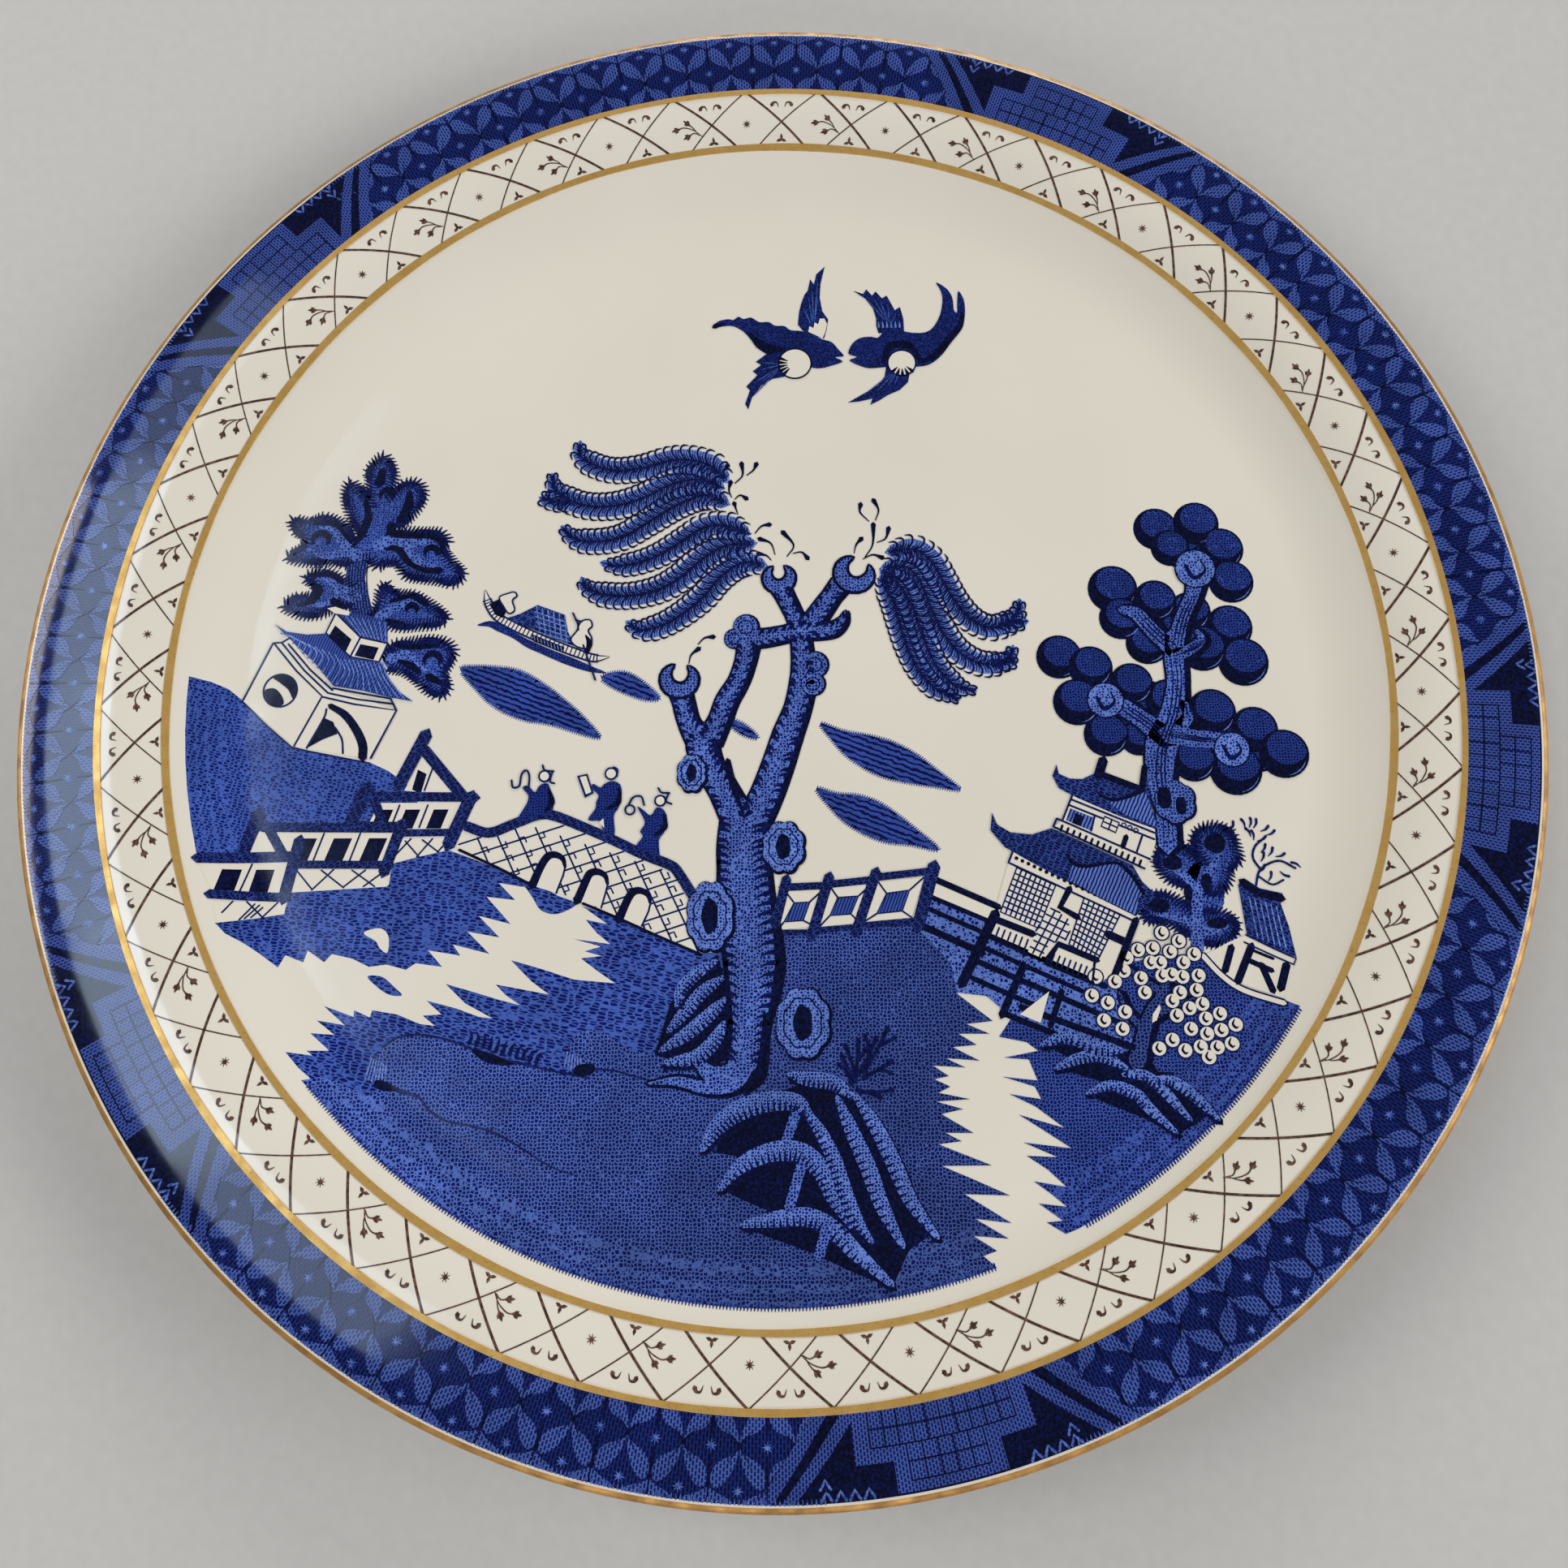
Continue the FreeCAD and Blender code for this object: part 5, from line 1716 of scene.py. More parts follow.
def round_tree():
    """The tall tree of round foliage behind the tea house."""
    piece = motif("round_tree")
    balls = (
        (69.8, 28.6, 3.6), (74.4, 24.6, 3.4), (77.2, 29.6, 3.7), (72.2, 24.9, 3.1), (79, 22, 3.4),
        (81.4, 24.6, 3.6), (82.7, 18.3, 3.6), (66.4, 12.6, 3.2), (72.6, 10, 3.2), (78.2, 8.6, 3.4),
        (61.3, 17, 4.0), (68.8, 14.8, 3.4), (74.9, 12.6, 3.3), (81.7, 9.6, 3.7), (62.5, 11.4, 3.5),
        (83.7, 3.1, 4.0), (66.9, 6.6, 3.4), (76.6, 5.7, 3.8), (58.6, -2, 3.4), (66.6, -4.4, 3.6),
        (63, -6.8, 3.4), (74.6, -8.6, 3.6), (79.4, -9.6, 3.4), (85, -13, 3.6), (51, 4.2, 3.6),
        (56.5, 2.2, 3.5), (63.6, -0.9, 3.4), (53.8, -4.2, 3.8), (70, -4.2, 3.7), (64.2, -10.8, 2.8),
        (58.6, -10.2, 3.5), (77.4, -6.2, 3.8), (84.6, -9.4, 3.7), (89.4, -13.8, 3.9), (80.8, -16.6, 4.1),
        (73.6, -14.9, 3.4),
    )
    for index, (x, y, radius) in enumerate(balls):
        ball(piece, x, y, radius * 1.06, 2 + 0.13 * index)
    for path, widths in (
        ([(68.2, -30), (68.2, -24), (67.6, -18), (68.4, -12), (70.6, -6.4), (71.6, -1), (71.6, 4), (71.8, 8)],
         (3.0, 3.0, 4.0, 5.0, 3.6, 2.8, 3.0, 3.0)),
        ([(72, 6), (73.4, 11), (75.6, 15.6), (76.4, 18.6)], (2.6, 2.2, 2.2, 2.8)),
        ([(69.4, -11), (65, -7.4), (61.6, -5), (58.4, -3.6)], (3.6, 2.8, 2.8, 3.4)),
        ([(69.6, -10), (74, -11), (78, -11.4), (81.6, -12.4)], (3.4, 2.8, 2.8, 3.0)),
        ([(71.6, 5.4), (68.4, 8.6), (65.4, 12.2), (62.8, 13)], (2.8, 2.4, 2.2, 1.4)),
        ([(72, 4.4), (74.6, 5.4), (76.6, 7.2), (76, 9)], (2.2, 1.8, 1.6, 0.8)),
        ([(72.6, -4.6), (73.2, -7), (71.2, -9.4)], (1.6, 2.0, 2.4)),
    ):
        bough(piece, path, [width * 1.2 for width in widths], False, 6.5)
        for shift in (-0.7, 0.1, 0.8):
            piece.curve([(x + shift, y + 0.3 * shift) for x, y in path[:-1]], (0.1, 0.3, 0.3, 0.1),
                        NAVY_LEAF, 8.5)
    for x, y, size in ((76.4, 20.8, 3.5), (58.8, -3.9, 3.1), (80.4, -13.0, 3.0)):
        piece.fill(circle(x, y, size + 0.25, 20), NAVY, 8.6)
        piece.fill(circle(x, y, size, 20), BARK_LIGHT, 8.8)
        piece.curve([(x - size * 0.5, y + size * 0.2), (x - size * 0.1, y - size * 0.5),
                     (x + size * 0.5, y - 0.1 * size), (x + size * 0.3, y + size * 0.5)],
                    (0.6, 0.9, 0.5, 0.2), NAVY_LEAF, 9)
    piece.fill(scalloped(69.9, -22.5, 3.5, 3.7, 6), NAVY, 8.6)
    piece.fill(scalloped(69.8, -22.3, 3.2, 3.4, 6), BARK, 8.8)
    piece.fill(scalloped(68.0, -21.6, 1.2, 1.9, 4), NAVY, 9)
    piece.fill(scalloped(70.8, -23.0, 0.9, 1.5, 4), NAVY, 9)
    piece.build()


def feather_lines(piece, root, tips):
    """Pale lines that fan out through a wing."""
    for tip in tips:
        path = [(root[0] * near + tip[0] * far, root[1] * near + tip[1] * far)
                for near, far in ((0.8, 0.2), (0.5, 0.5), (0.15, 0.85))]
        piece.stroke(path, (0.08, 0.2, 0.06), BIRD_LINE, 6)


def breast(piece, x, y, radius, start, end):
    """A white breast, with dark scallops where the wing meets it."""
    piece.fill(circle(x, y, radius + 0.28, 30), NAVY, 6)
    piece.fill(circle(x, y, radius, 30), WHITE, 7)
    count = 5
    for k in range(count):
        angle = start + (end - start) * (k + 0.5) / count
        way = (cos(angle), sin(angle))
        tip = (x + way[0] * radius * 0.5, y + way[1] * radius * 0.5)
        piece.stroke([(x + way[0] * (radius + 0.1), y + way[1] * (radius + 0.1)), tip], (0.75, 0.16), NAVY, 8)


def birds():
    """Two birds, beak to beak."""
    piece = motif("birds")
    piece.fill([(4.4, 71.2), (4.6, 73.6), (5, 75.6), (5.7, 77.6), (6.3, 78.4), (6.8, 80.9), (7.5, 79.8),
                (8, 82), (9.6, 83.6), (8.8, 80), (8.6, 77), (9.1, 74), (10.2, 72.2), (9.9, 70.2), (9.4, 68.2),
                (6, 69)], BIRD, 4)
    piece.fill([(6.4, 69.6), (6.6, 70.8), (7.4, 70.4), (7.6, 71.6), (8.3, 71.2), (8.6, 72.4), (9.5, 72.4),
                (10, 71.2), (9.6, 69.4), (9.1, 68.2), (7.6, 69)], WHITE, 5)
    feather_lines(piece, (7.4, 70), [(5.2, 75.4), (6.3, 78.2), (7.2, 79.8), (8.4, 82), (8.4, 78)])
    piece.fill([(1.8, 65.4), (-1.6, 65), (-3.6, 63.4), (-2.6, 62.7), (-4.2, 61.4), (-3.3, 60.6), (-5.4, 58.2),
                (-4.7, 57.4), (-5.6, 54.6), (-5, 53.5), (-4.3, 56), (-2.6, 58.4), (-0.4, 59.8), (1.8, 60.2)],
               BIRD, 4)
    feather_lines(piece, (1.8, 62.8), [(-3.2, 63.2), (-3.8, 61.4), (-5, 58.2), (-5.2, 55), (-3, 58.6)])
    piece.blob([(-12, 70.6), (-11, 72), (-9, 72.5), (-8, 72.3), (-7, 73), (-6, 72.5), (-4.6, 72.8),
                (-3, 71.8), (-1.2, 71.8), (0, 71), (1.8, 70.9), (3, 70), (5, 69.8), (7, 69), (9, 68),
                (10.8, 67.4), (12.1, 65.8), (13.1, 64.4), (11.4, 64.2), (12.9, 63.3), (11, 62.5), (8.6, 61.9),
                (6.4, 62.4), (4, 65.2), (0, 64.6), (-2.2, 65.4), (-4.2, 67.6), (-6, 69.8), (-8, 71),
                (-10, 71)], BIRD, 5, 3)
    piece.curve([(-5, 69.4), (-3, 67.2), (-1, 66), (2, 66)], (0.5, 1.8, 1.9, 0.6), NAVY, 6)
    piece.curve([(-11.6, 71), (-9.4, 71.6)], (1.0, 0.3), NAVY, 6)
    breast(piece, 3.8, 62.9, 2.95, 150, 235)
    piece.fill([(15.2, 78.3), (17.0, 77.6), (17.6, 78.6), (18.7, 77.2), (19.4, 78.1), (20.6, 76.6),
                (21.5, 77.2), (23, 74), (24, 74.7), (24.6, 72.2), (24.7, 69.4), (19.8, 69.2), (19.4, 70.8),
                (19.4, 72.4), (18.8, 74.6), (17.4, 76.6)], BIRD, 4)
    feather_lines(piece, (22, 70.6), [(17.2, 77.2), (18.6, 77.4), (20, 76.8), (21.6, 76), (23.4, 73.6)])
    for k in range(6):
        piece.stroke([(19.9 + 0.8 * k, 70.4), (19.8 + 0.8 * k, 71.6)], (0.4, 0.1), PALE, 6)
    piece.fill([(21.2, 62.4), (20.8, 60), (19.6, 58.2), (17, 56.6), (13.9, 54.7), (16, 54.9), (18.5, 55.5),
                (18, 54.2), (19.6, 55), (21.4, 56.2), (23.6, 57.2), (25.2, 58.8), (25.6, 61), (26.4, 62.4)],
               BIRD, 4)
    feather_lines(piece, (23.8, 62), [(15.6, 55.2), (18.6, 56.2), (20.8, 57.2), (22.6, 57.8), (24.4, 59)])
    piece.blob([(14, 64.9), (14.8, 67), (16.4, 68.2), (18.4, 68.4), (19.7, 68.2), (20.9, 69.5), (23, 69.9),
                (26, 69.2), (28.6, 69.2), (30.2, 70.2), (31.6, 72.8), (32.2, 76), (31.9, 78.2), (31.1, 79.9),
                (33, 78.6), (34.1, 76.6), (34.3, 74), (34.9, 73.4), (35, 75.6), (35.3, 78), (36.3, 76),
                (36.4, 73), (35.9, 70.4), (34.6, 68.4), (33.2, 66.6), (32.2, 65), (30.2, 63), (28, 62.1),
                (24, 62), (21, 62), (18, 61.8), (16, 62.4), (14.2, 63.5), (15.7, 64.2)], BIRD, 5, 3)
    piece.curve([(27.6, 63), (30.6, 64.4), (33, 67.4), (35.4, 70.6), (35.8, 73.4)], (0.6, 1.5, 1.4, 1.2, 0.4),
                NAVY, 6)
    piece.curve([(20.6, 63), (22, 66.4), (25.6, 66.4), (27.6, 63.4)], (0.8, 1.5, 1.5, 0.8), NAVY, 6)
    breast(piece, 24.1, 62.8, 2.5, 215, 330)
    piece.build()


def willow_right():
    """The willow's fronds and drops on the right."""
    piece = motif("willow_right")
    for spine, widest in (
        ([(21.4, 24.6), (25.4, 25.0), (28.4, 23), (30.6, 19), (32.8, 14.8), (35.6, 11.4), (39, 9.8),
          (42.4, 10.8), (44, 12.6), (44.4, 14.8)], 4.8),
        ([(20.4, 21.4), (24, 21.6), (26.6, 18.6), (28.4, 13.6), (30.4, 9), (33, 5.4), (36.6, 3.2), (40, 3.0),
          (42.2, 4), (42.8, 6)], 4.8),
        ([(20, 20.6), (22.8, 18), (25, 14), (26.4, 9.6), (27.8, 5.4), (29.6, 1.8), (32.4, -1),
          (35.6, -2)], 4.4),
        ([(19.8, 19.4), (21.4, 15.4), (22.6, 11), (23.8, 6.6), (25.6, 2.4), (28.4, -1.2), (32.6, -3.6)], 4.2),
        ([(41, 10.4), (43.6, 10.8), (45.6, 11)], 3.2),
        ([(39.4, 3), (41.6, 3.4), (43.2, 3.4)], 3.0),
    ):
        frond(piece, spine, widest)
    for path in (
        [(16.6, 23.6), (18, 26), (18.2, 30)], [(17.4, 30.6), (15.8, 32.4), (15.9, 34)],
        [(18.6, 30.8), (19.2, 32.8), (18.3, 34.8)], [(18.8, 26.4), (20.4, 27.2), (21, 29.2)],
        [(14.6, 24.4), (15, 26), (16, 27.2)], [(16.2, 23.2), (18, 24), (19.8, 23.4)],
        [(3.4, 24.4), (5, 24.6), (6.1, 23.4)],
    ):
        drop(piece, path)
    piece.build()


def along_line(start, end, count):
    """Evenly spaced places between two points."""
    return [(start[0] + (end[0] - start[0]) * (k + 0.5) / count,
             start[1] + (end[1] - start[1]) * (k + 0.5) / count) for k in range(count)]


def window(piece, outline, columns, rows, level):
    """A white four-cornered window crossed by a lattice."""
    a, b, c, d = [np.array(corner, dtype=float) for corner in outline]
    piece.fill([a, b, c, d], WHITE, level)
    piece.stroke([a, b, c, d], 0.32, DEEP_LINE, level + 1, True)
    for k in range(1, columns):
        piece.stroke([a + (b - a) * k / columns, d + (c - d) * k / columns], 0.3, DEEP_LINE, level + 1)
    for k in range(1, rows):
        piece.stroke([a + (d - a) * k / rows, b + (c - b) * k / rows], 0.3, DEEP_LINE, level + 1)


def tea_house():
    """Two curved roofs over a latticed wall."""
    piece = motif("tea_house")
    piece.fill([(52.2, -20.6), (50.0, -25.6), (48.6, -26.6), (63.8, -33.9), (65, -32), (67, -27), (60, -24)],
               WHITE, 6)
    piece.fill([(41.6, -30.6), (40.5, -32.8), (36.8, -45), (46, -50.2), (54, -53.6), (57, -52.4), (62.6, -41),
                (52, -35)], WHITE, 6)
    piece.fill([(49.6, -15.6), (49.9, -17.2), (51.8, -18.1), (54, -18.2), (57, -16.8), (64, -19.8),
                (65, -16.4), (65.8, -24), (66.8, -27.4), (60, -24.8), (53, -21.6), (49.8, -19.8),
                (48.8, -17.6)], ROOF_DARK, 7)
    piece.fill([(56.4, -20.6), (59, -21.8), (62, -21.2), (64.8, -20.6), (65.6, -23.4), (66.4, -26.8),
                (61, -24.6)], ROOF_LINES, 8)
    piece.curve([(56.2, -20.4), (58.6, -21.9), (61.4, -21.5), (64.4, -20.2)], (0.3, 0.6, 0.6, 0.9), NAVY, 9)
    piece.stroke([(57, -17.2), (60, -18.4), (64.2, -20.1)], 1.1, NAVY, 9)
    piece.stroke([(57.8, -14.8), (56.8, -17.6)], 1.7, NAVY, 9)
    piece.stroke([(65, -16), (64.2, -20)], 1.1, NAVY, 9)
    piece.fill([(38, -24.2), (38.8, -26.2), (41, -27.6), (44.8, -28), (48.2, -26.9), (55.4, -30.3),
                (61.8, -33.4), (63.2, -36.2), (65.6, -38.7), (63.4, -40.4), (61.8, -42.2), (56, -39.2),
                (50, -36), (44, -32.6), (40, -30.2), (37.6, -27.2)], ROOF_DARK, 7)
    piece.fill([(51.6, -33), (54.4, -33.6), (59, -33.2), (61.4, -35.4), (63.4, -38), (62.4, -39.2),
                (61.8, -42), (56, -39), (50.6, -36)], ROOF_LINES, 8)
    piece.curve([(50.6, -31.4), (51.6, -33), (54, -33.6), (59, -33), (61.4, -35), (63.4, -38.4)],
                (0.3, 0.8, 0.6, 0.5, 0.6, 0.6), NAVY, 9)
    for start, end in (
        ((51.8, -21.8), (66.2, -27.9)), ((51.4, -22.8), (65.8, -28.9)), ((52.2, -20.8), (50.2, -25.4)),
        ((49.2, -25.2), (64.9, -32.4)), ((48.5, -26.6), (63.8, -34)), ((49.2, -25.2), (48.5, -26.6)),
        ((63.8, -28.2), (62.6, -31.2)), ((41.4, -30.8), (62.6, -41.2)), ((40.5, -32.9), (61.4, -43)),
        ((41.4, -30.8), (40.5, -32.9)), ((55.8, -24.6), (55.0, -27.4)),
    ):
        piece.stroke([start, end], 0.36, DEEP_LINE, 8)
    for x, y in along_line((49.6, -26.2), (63.8, -32.8), 14):
        piece.stroke([(x, y), (x - 0.4, y - 0.9)], 0.42, NAVY, 8)
    for x, y in along_line((41.4, -31.9), (61.6, -41.6), 20):
        piece.fill(circle(x, y, 0.34, 8), NAVY, 8)
    piece.fill([(51.6, -23.4), (55.6, -25.1), (54.8, -27.3), (50.8, -25.5)], ROOF_LINES, 8)
    piece.fill([(52.4, -24.2), (53.9, -24.9), (53.2, -26.6), (51.8, -26)], NAVY, 9)
    window(piece, [(57.5, -24.9), (59.9, -26), (59.2, -27.7), (56.8, -26.6)], 2, 2, 8)
    for x, y in along_line((60.2, -26.2), (63.2, -27.6), 3):
        piece.stroke(circle(x, y, 0.42, 6), 0.24, DEEP_LINE, 8, True)
    piece.stroke([(61, -28.4), (60.3, -30.2)], 0.9, NAVY, 8)
    window(piece, [(41.9, -33.8), (48.4, -36.9), (45.2, -44.2), (38.8, -41.4)], 8, 8, 7)
    window(piece, [(53.2, -39), (59.2, -41.8), (54.8, -49.8), (50.2, -46.9)], 7, 9, 7)
    centre = [(47.4, -40.4), (50.4, -42.6), (50.6, -46), (47, -46.8), (45.4, -49.2), (43.2, -48.2),
              (44.8, -44.4)]
    piece.fill(centre, WHITE, 8)
    one, other = np.array((0.5, 0.87)), np.array((0.9, -0.44))
    for along, across in ((one, other), (other, one)):
        for k in range(-5, 6):
            start = np.array((47.4, -45)) + across * 1.25 * k - along * 9
            clipped_line(piece, start, start + along * 18, centre, 9)
    for path, width in (
        ([(50.8, -37.4), (49.0, -40.6), (52, -42.4)], 1.1), ([(38, -42.7), (44.2, -45.2)], 1.2),
        ([(46.4, -49.6), (48.4, -46.9), (54.8, -49.6)], 1.1), ([(56.8, -45.2), (59.8, -46.6)], 1.4),
        ([(61.8, -42.8), (57.6, -52.2)], 1.2), ([(36.9, -45.3), (43, -48.7)], 0.6),
        ([(54.4, -49.8), (53.8, -53.4)], 0.4), ([(46, -50.1), (54, -53.5)], 0.6),
    ):
        piece.stroke(path, width, NAVY, 9)
    for x, y in along_line((38, -43.9), (43.8, -46.3), 6):
        piece.stroke([(x, y), (x - 0.8, y - 1.9)], 0.3, DEEP_LINE, 8)
    for x, y in along_line((47.2, -48.4), (54.4, -51.2), 8):
        piece.stroke([(x, y), (x - 0.8, y - 1.9)], 0.3, DEEP_LINE, 8)
    piece.build()


def small_tree():
    """The small fringed tree beside the tea house."""
    piece = motif("small_tree")
    for lobe in (
        [(74.4, -33.6), (72.8, -31), (72.6, -28.6), (74.2, -26.9), (76.6, -26.5), (79, -27.6), (79.9, -30),
         (80.2, -32.6), (78.6, -34), (78, -36.4), (76.2, -38.4), (73.6, -38)],
        [(72.2, -37), (70, -36.8), (67.4, -35.6), (65.9, -33), (66.6, -30.8), (68.8, -30), (71.6, -30.6),
         (73.8, -33)],
        [(72.2, -41.4), (69, -39.2), (66.4, -38.4), (63.8, -39), (62.6, -41), (63.6, -42.8), (66.4, -43),
         (69, -44.4), (71.8, -45.8)],
        [(72.2, -42), (74.6, -41.2), (77, -41.8), (78.8, -43.4), (78.2, -45.4), (76.4, -46.8), (73.6, -46.8),
         (71.4, -46.2)],
    ):
        fringed_lobe(piece, lobe, 1.1)
    piece.fill([(70.6, -35), (73.4, -32), (77, -35), (77, -40), (74.6, -43), (70.6, -43), (70.4, -39)],
               FOLIAGE, 2)
    for path, widths in (
        ([(71.8, -48), (72.2, -43), (72.6, -38.6), (74.8, -34.6), (77, -31.6)], (2.2, 2.0, 1.8, 1.5, 0.8)),
        ([(72.6, -38), (70.6, -35.2), (68.6, -34.2)], (1.6, 1.3, 0.7)),
        ([(72, -43.6), (68.6, -42.4), (65.4, -41.8)], (1.6, 1.2, 0.6)),
        ([(72.2, -44.6), (75, -44.8), (77.2, -43.8)], (1.6, 1.2, 0.6)),
    ):
        piece.curve(path, widths, BARK, 5)
    for x, y, wide, high in ((76.2, -29.6, 1.7, 1.6), (68.7, -33, 1.5, 1.2), (65.8, -40.4, 1.8, 1.1),
                             (75.6, -43.4, 1.6, 0.9), (74.2, -36.4, 0.9, 1.5), (71, -38.2, 0.7, 1.4)):
        piece.fill(scalloped(x, y, wide, high, 3), NAVY, 6)
    piece.build()


def small_hut():
    """A small open hut by the edge, with its path and bare sprigs."""
    piece = motif("small_hut")
    piece.fill([(77.2, -46.6), (80.2, -45.4), (88, -49.4), (87.4, -50.8), (85.4, -56), (78, -53.2),
                (72.6, -49)], WHITE, 5)
    piece.fill([(79.6, -36.8), (80.8, -35.8), (83, -37.4), (87, -38.3), (86.5, -40), (87.5, -44),
                (88.1, -49.2), (84, -47.2), (80.4, -45.5)], ROOF_DARK, 6)
    for x, y in along_line((80.8, -38.6), (86.2, -40.8), 6):
        piece.stroke([(x, y), (x + 0.9, y - 7)], 0.2, PALE, 7)
    for path, width in (
        ([(80.3, -36.3), (83, -38.2), (86.8, -39.2)], 1.4), ([(77.6, -47.4), (76.2, -51.4)], 1.2),
        ([(81, -47.2), (78.2, -53.2)], 1.3), ([(80.2, -49.6), (84, -51.4)], 0.9),
        ([(82.4, -50.4), (83.8, -54.8)], 1.1), ([(86.4, -50.4), (85, -54.4)], 1.3),
        ([(81.2, -48), (84.4, -49.4)], 0.5),
    ):
        piece.stroke(path, width, NAVY, 7)
    piece.stroke([(80.2, -45.4), (88, -49.4), (87.5, -50.4), (79.8, -46.6)], 0.3, DEEP_LINE, 8)
    path = smooth([(72.6, -48.8), (75.6, -52.2), (79, -54.6), (85.2, -56.8)])
    piece.stroke(path, 1.4, DEEP_LINE, 6)
    piece.stroke(path, 0.8, WHITE, 7)
    piece.curve([(82.6, -37), (83.6, -34.2), (86.8, -32.7), (89.6, -34)], 0.4, DEEP_LINE, 4)
    piece.curve([(83.7, -34.3), (82.5, -32.2), (83, -30.2), (84.6, -28.8)], 0.4, DEEP_LINE, 4)
    piece.curve([(83.2, -35.4), (85.4, -36.8), (87.4, -36)], 0.35, DEEP_LINE, 4)
    for x, y, aim in ((79.6, -25.8, 250), (81, -25.4, 290), (82.6, -25.2, 260), (83.6, -25.4, 250),
                      (81.6, -27, 300), (82.6, -27.4, 280), (85.6, -26.6, 215), (86.6, -27.4, 210),
                      (85, -28.4, 210), (84.8, -29.8, 240), (86, -30.4, 240), (88, -31.4, 200),
                      (84.4, -31.2, 250), (89, -33, 330), (88.4, -35.4, 150), (85.4, -34.6, 250),
                      (84.4, -33.4, 230)):
        piece.curve([(x, y), (x + 0.8 * cos(aim + 15), y + 0.8 * sin(aim + 15)),
                     (x + 1.7 * cos(aim), y + 1.7 * sin(aim))], (0.5, 0.4, 0.15), DEEP_LINE, 4)
    piece.build()


def blossom_tree():
    """A tree of ringed white blossoms."""
    piece = motif("blossom_tree")
    for path, widths in (
        ([(60.6, -66.6), (62, -62), (63.4, -58.4), (66, -54.6), (65.6, -51)], (3.2, 2.4, 2.2, 2.0, 1.0)),
        ([(63.4, -59), (67, -57.4), (71, -56)], (2.0, 1.4, 0.6)),
        ([(62, -61), (59.4, -58), (58.4, -55)], (1.6, 1.2, 0.6)),
        ([(65.6, -55), (62, -52.6), (60, -50.6)], (1.6, 1.2, 0.5)),
    ):
        bough(piece, path, widths, False, 5, FORE)
    for x, y in (
        (66, -45), (68.8, -46.4), (61.8, -47.9), (64.3, -47.6), (67.2, -48.2), (71.2, -48.6), (59.8, -49.2),
        (65.4, -50), (69.3, -50), (59.2, -51.4), (62, -52.6), (65.6, -52.2), (69, -52.4), (71.7, -52.2),
        (54.4, -52.4), (57.6, -53.2), (62.5, -55), (68.4, -55), (71.2, -54.6), (53.6, -55.5), (56.2, -56.7),
        (59, -58.2), (67, -56.4), (72, -56.9), (69.8, -57.6), (67.6, -58.8), (74.8, -58.5), (72.4, -59.3),
        (55.4, -59.6), (58.4, -61), (69.8, -61), (72.4, -61.8), (77.2, -60.3), (74.8, -61.2), (66.6, -62.8),
        (64.3, -64.2), (68.6, -64.5), (71.2, -63.9), (73.9, -64), (76.3, -63.4), (72.4, -65.6), (63.8, -50),
        (67.2, -52),
    ):
        piece.fill(circle(x, y, 1.42, 14), DEEP_LINE, 8)
        piece.fill(circle(x, y, 1.16, 14), WHITE, 9)
        piece.curve([(x - 0.1, y + 0.9), (x - 0.45, y + 0.1), (x, y - 0.5), (x + 0.45, y - 0.3)],
                    (0.16, 0.4, 0.42, 0.1), NAVY, 10)
    piece.fill([(63.4, -60), (63.6, -58.6), (64.8, -57), (65, -57.6), (64.2, -59.6)], WHITE, 8)
    piece.build()


def right_land():
    """The stippled ground under the tea house, with its torn edge to the channel."""
    piece = motif("right_land")
    torn = [(40, -59.2), (37.8, -62.3), (42.4, -63.2), (44.2, -64.6), (38.5, -65.7), (42.6, -66),
            (43.9, -69.4), (38.2, -68.8), (43.4, -70.4), (44.4, -72.4), (39.2, -71.6), (43.4, -73.6),
            (48, -77), (40.6, -74.9), (44.6, -77.4), (49, -80.2), (41.2, -79.3), (46.6, -81.6), (41.6, -81.4),
            (45, -83.6), (47.8, -86.2), (42.6, -85.4), (45.4, -87.4), (47.6, -89.2), (43.2, -88.8),
            (46.8, -91.3), (44.2, -91.6), (47, -93.2)]
    rim = [polar(LAND_EDGE, angle) for angle in (*range(-62, -33, 3), -33.2)]
    inland = [(85.6, -56.4), (79, -54.6), (72.4, -48.6), (66, -49), (60, -50), (57, -52.6), (59, -58),
              (52, -58)]
    piece.fill(torn + rim + inland, LAND, 3)
    edge = [polar(LAND_FRINGE, angle) for angle in np.arange(-33.4, -62.4, -1)][::-1]
    fringe(piece, edge, 0.5, 0.55, 8, FORE_EDGE, 3, 0.28)
    piece.fill([(44.6, -63.2), (50, -61.6), (57, -64.6), (62, -64.8), (64, -68), (66, -68), (72, -74.4),
                (66, -78), (61, -75.4), (52, -71.8), (56, -70), (47, -67.4), (49, -65.6)], NAVY, 5)
    for path, width in (
        ([(44.8, -63.6), (49, -62.4), (54, -64), (58.6, -64.6)], 2.2),
        ([(47, -67.4), (51, -65.8), (55, -65.6), (59, -67.6)], 2.0),
        ([(52, -71.4), (56, -70.2), (60, -71.6), (62, -73.8), (66, -77.6)], 2.0),
        ([(58, -68.4), (61.6, -68.6), (64.6, -71), (68.4, -75.6)], 1.9),
        ([(63.4, -69), (66.4, -69.6), (69.6, -72), (72.6, -75.4)], 1.9),
    ):
        cord(piece, path, width, 6)
    piece.build()


def build_landscape():
    hill()
    far_shore()
    near_water()
    foreground()
    right_land()
    islands()
    hut()
    left_tree()
    zigzag_fence()
    bridge()
    bridge_figures()
    boat()
    willow_left()
    willow_right()
    willow_roots()
    willow_trunk()
    panel_fence()
    round_tree()
    tea_house()
    small_tree()
    small_hut()
    blossom_tree()
    birds()


# ------------------------------------------------------------ floor and light

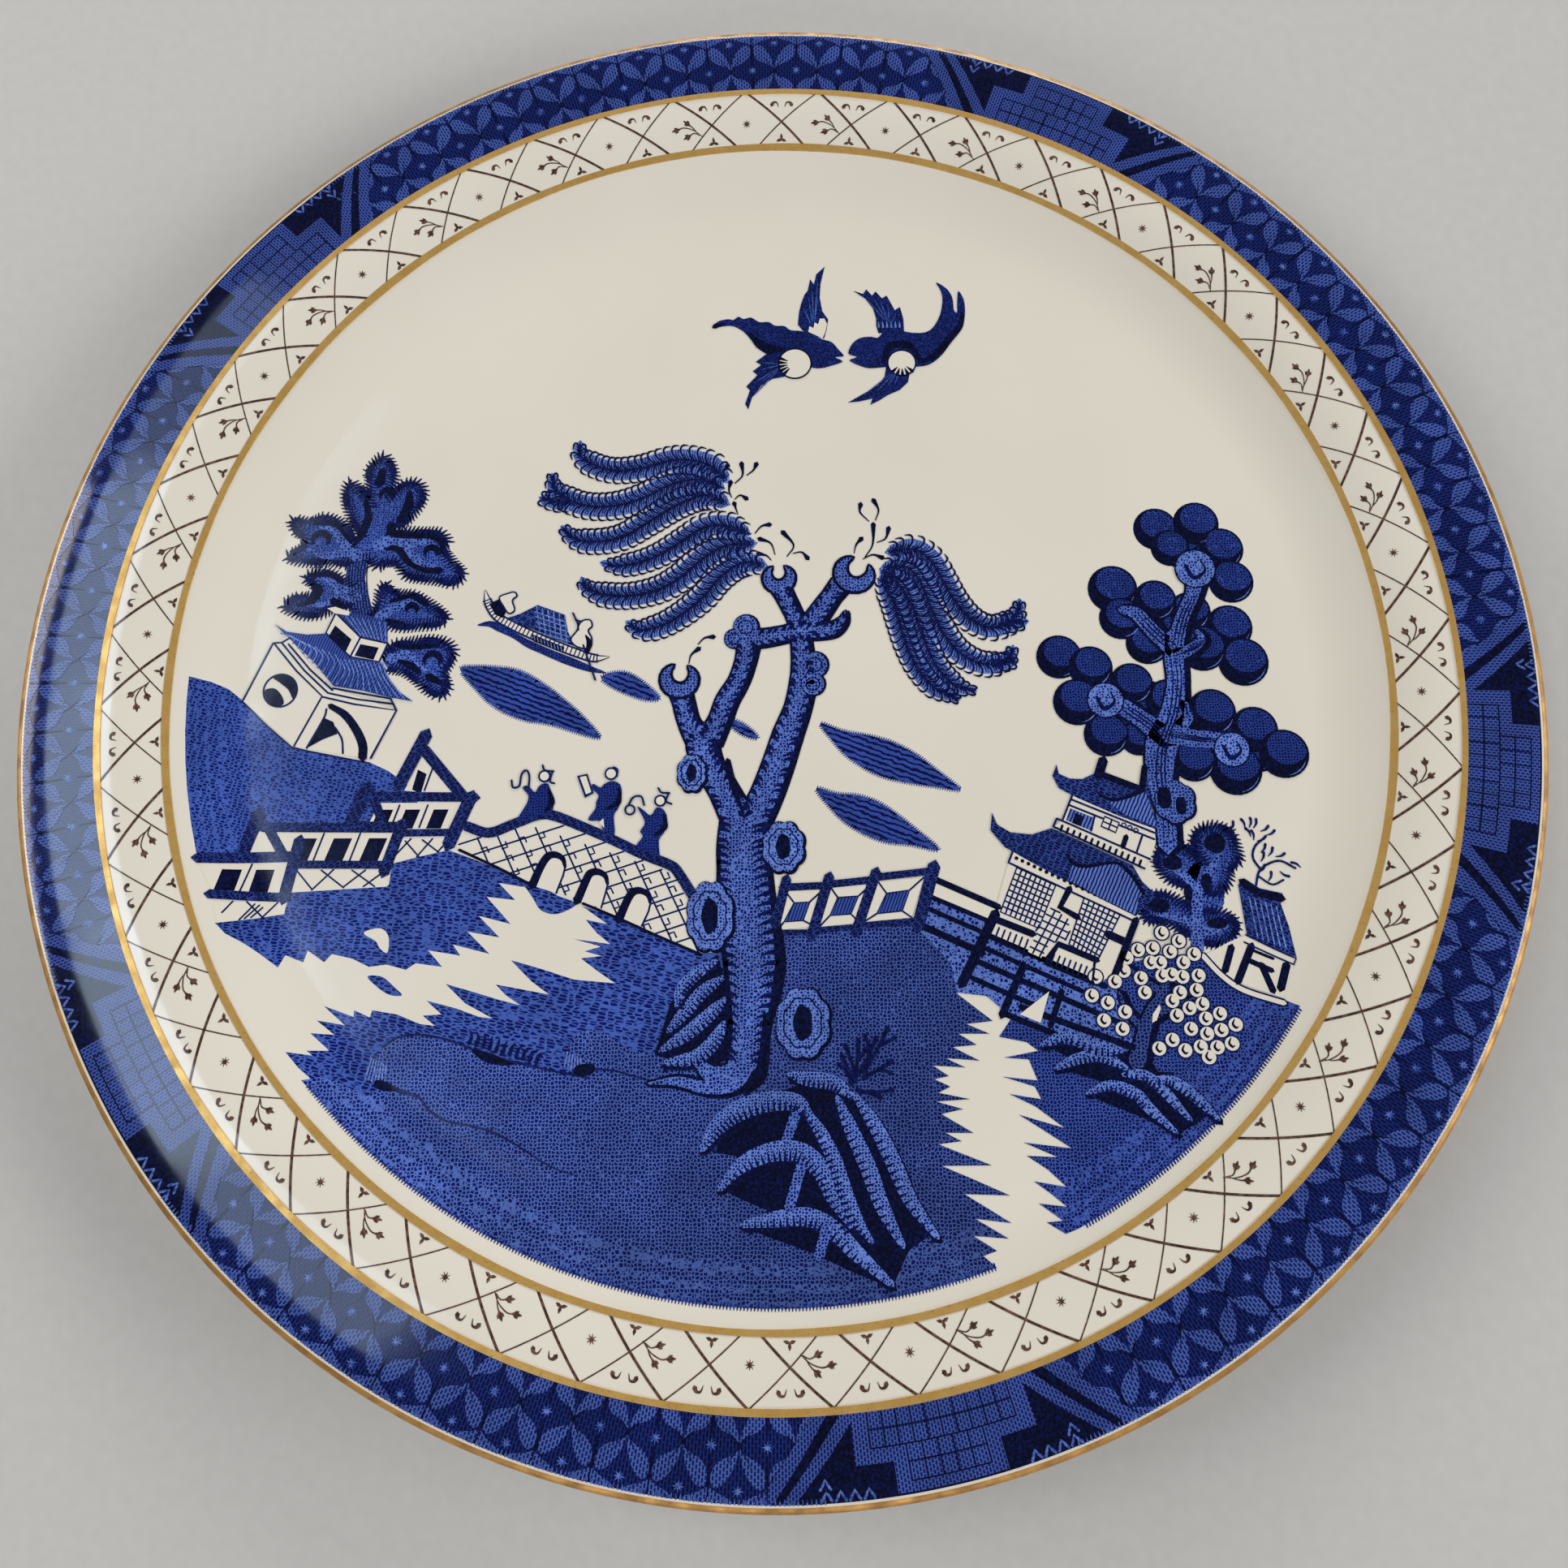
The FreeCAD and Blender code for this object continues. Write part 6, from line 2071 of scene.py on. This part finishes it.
def table_top():
    """A plain pale floor, with a little grain."""
    mesh = bpy.data.meshes.new("floor")
    half = 3.0
    mesh.from_pydata([(-half, -half, 0), (half, -half, 0), (half, half, 0), (-half, half, 0)], [],
                     [(0, 1, 2, 3)])
    material = bpy.data.materials.new("pale_floor")
    nodes = Nodes(material)
    speck = nodes.noise(nodes.millimetres(), 0.4, 3.0)
    nodes.put(nodes.shader.inputs["Base Color"],
              nodes.mix(speck, linear(206, 202, 196), linear(196, 192, 186)))
    nodes.shader.inputs["Roughness"].default_value = 0.8
    mesh.materials.append(material)
    floor = bpy.data.objects.new("floor", mesh)
    bpy.context.collection.objects.link(floor)


def area_light(name, place, aim, size, power, colour):
    """A soft panel at a place, aimed at another, both in metres."""
    data = bpy.data.lights.new(name, "AREA")
    data.shape = "RECTANGLE"
    data.size, data.size_y = size
    data.energy = power
    data.color = colour
    lamp = bpy.data.objects.new(name, data)
    lamp.location = place
    lamp.rotation_euler = (Vector(aim) - Vector(place)).to_track_quat("-Z", "Y").to_euler()
    bpy.context.collection.objects.link(lamp)


def light_the_table():
    """Daylight from windows on four sides, and an arc of sky that the left of the brim mirrors.

    None of them stands where the middle of the glaze would mirror it.
    """
    world = bpy.data.worlds.new("room")
    bpy.context.scene.world = world
    world.use_nodes = True
    world.node_tree.nodes["Background"].inputs["Color"].default_value = (0.80, 0.86, 1.0, 1.0)
    world.node_tree.nodes["Background"].inputs["Strength"].default_value = 0.10
    for side, place, size, power, colour in (
        ("left", (-1.45, 0.35, 0.95), (0.9, 0.7), 10.5, (1.0, 0.96, 0.90)),
        ("back", (0.25, 2.05, 0.62), (1.6, 0.7), 24.0, (1.0, 0.98, 0.95)),
        ("right", (1.7, -0.2, 0.74), (1.2, 0.6), 20.5, (0.97, 0.98, 1.0)),
        ("front", (0.0, -1.9, 1.0), (1.6, 0.8), 17.0, (1.0, 0.98, 0.95)),
    ):
        area_light("window_" + side, place, (0, 0, 0.01), size, power, colour)
    sky_x, sky_y, sky_radius, sky_power = -0.03, 0.304, 0.66, 0.95
    for number, share in enumerate((0.25, 0.70, 0.84, 0.84, 0.48)):
        turn = 152 + 20 * number
        place = (sky_x + sky_radius * cos(turn), sky_y + sky_radius * sin(turn), 1.0)
        area_light(f"sky_on_the_left_brim_{number + 1}", place, (sky_x, sky_y, 0.01), (0.235, 0.2),
                   sky_power * share, (0.66, 0.82, 1.0))


def camera_over_the_plate():
    """A phone held close over the plate, a little below its middle."""
    data = bpy.data.cameras.new("camera")
    data.sensor_width = 36.0
    data.lens = 26.81
    data.clip_start = 0.01
    camera = bpy.data.objects.new("camera", data)
    camera.location = (0.00556, -0.06148, 0.21087)
    camera.rotation_euler = (math.radians(11.98), math.radians(1.09), 0)
    bpy.context.collection.objects.link(camera)
    bpy.context.scene.camera = camera


def main():
    glazed_plate()
    gilt_edge()
    gilt_band("gilt_inner_band", INNER_LINE, "gilt_inner_line", 40)
    gilt_band("gilt_outer_band", OUTER_LINE, "gilt_outer_line", 120)
    build_border()
    build_lattice()
    build_landscape()
    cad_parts["china_body"].data.materials.clear()
    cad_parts["china_body"].data.materials.append(bisque())
    table_top()
    light_the_table()
    camera_over_the_plate()
    bpy.context.scene.view_settings.view_transform = "Standard"


main()
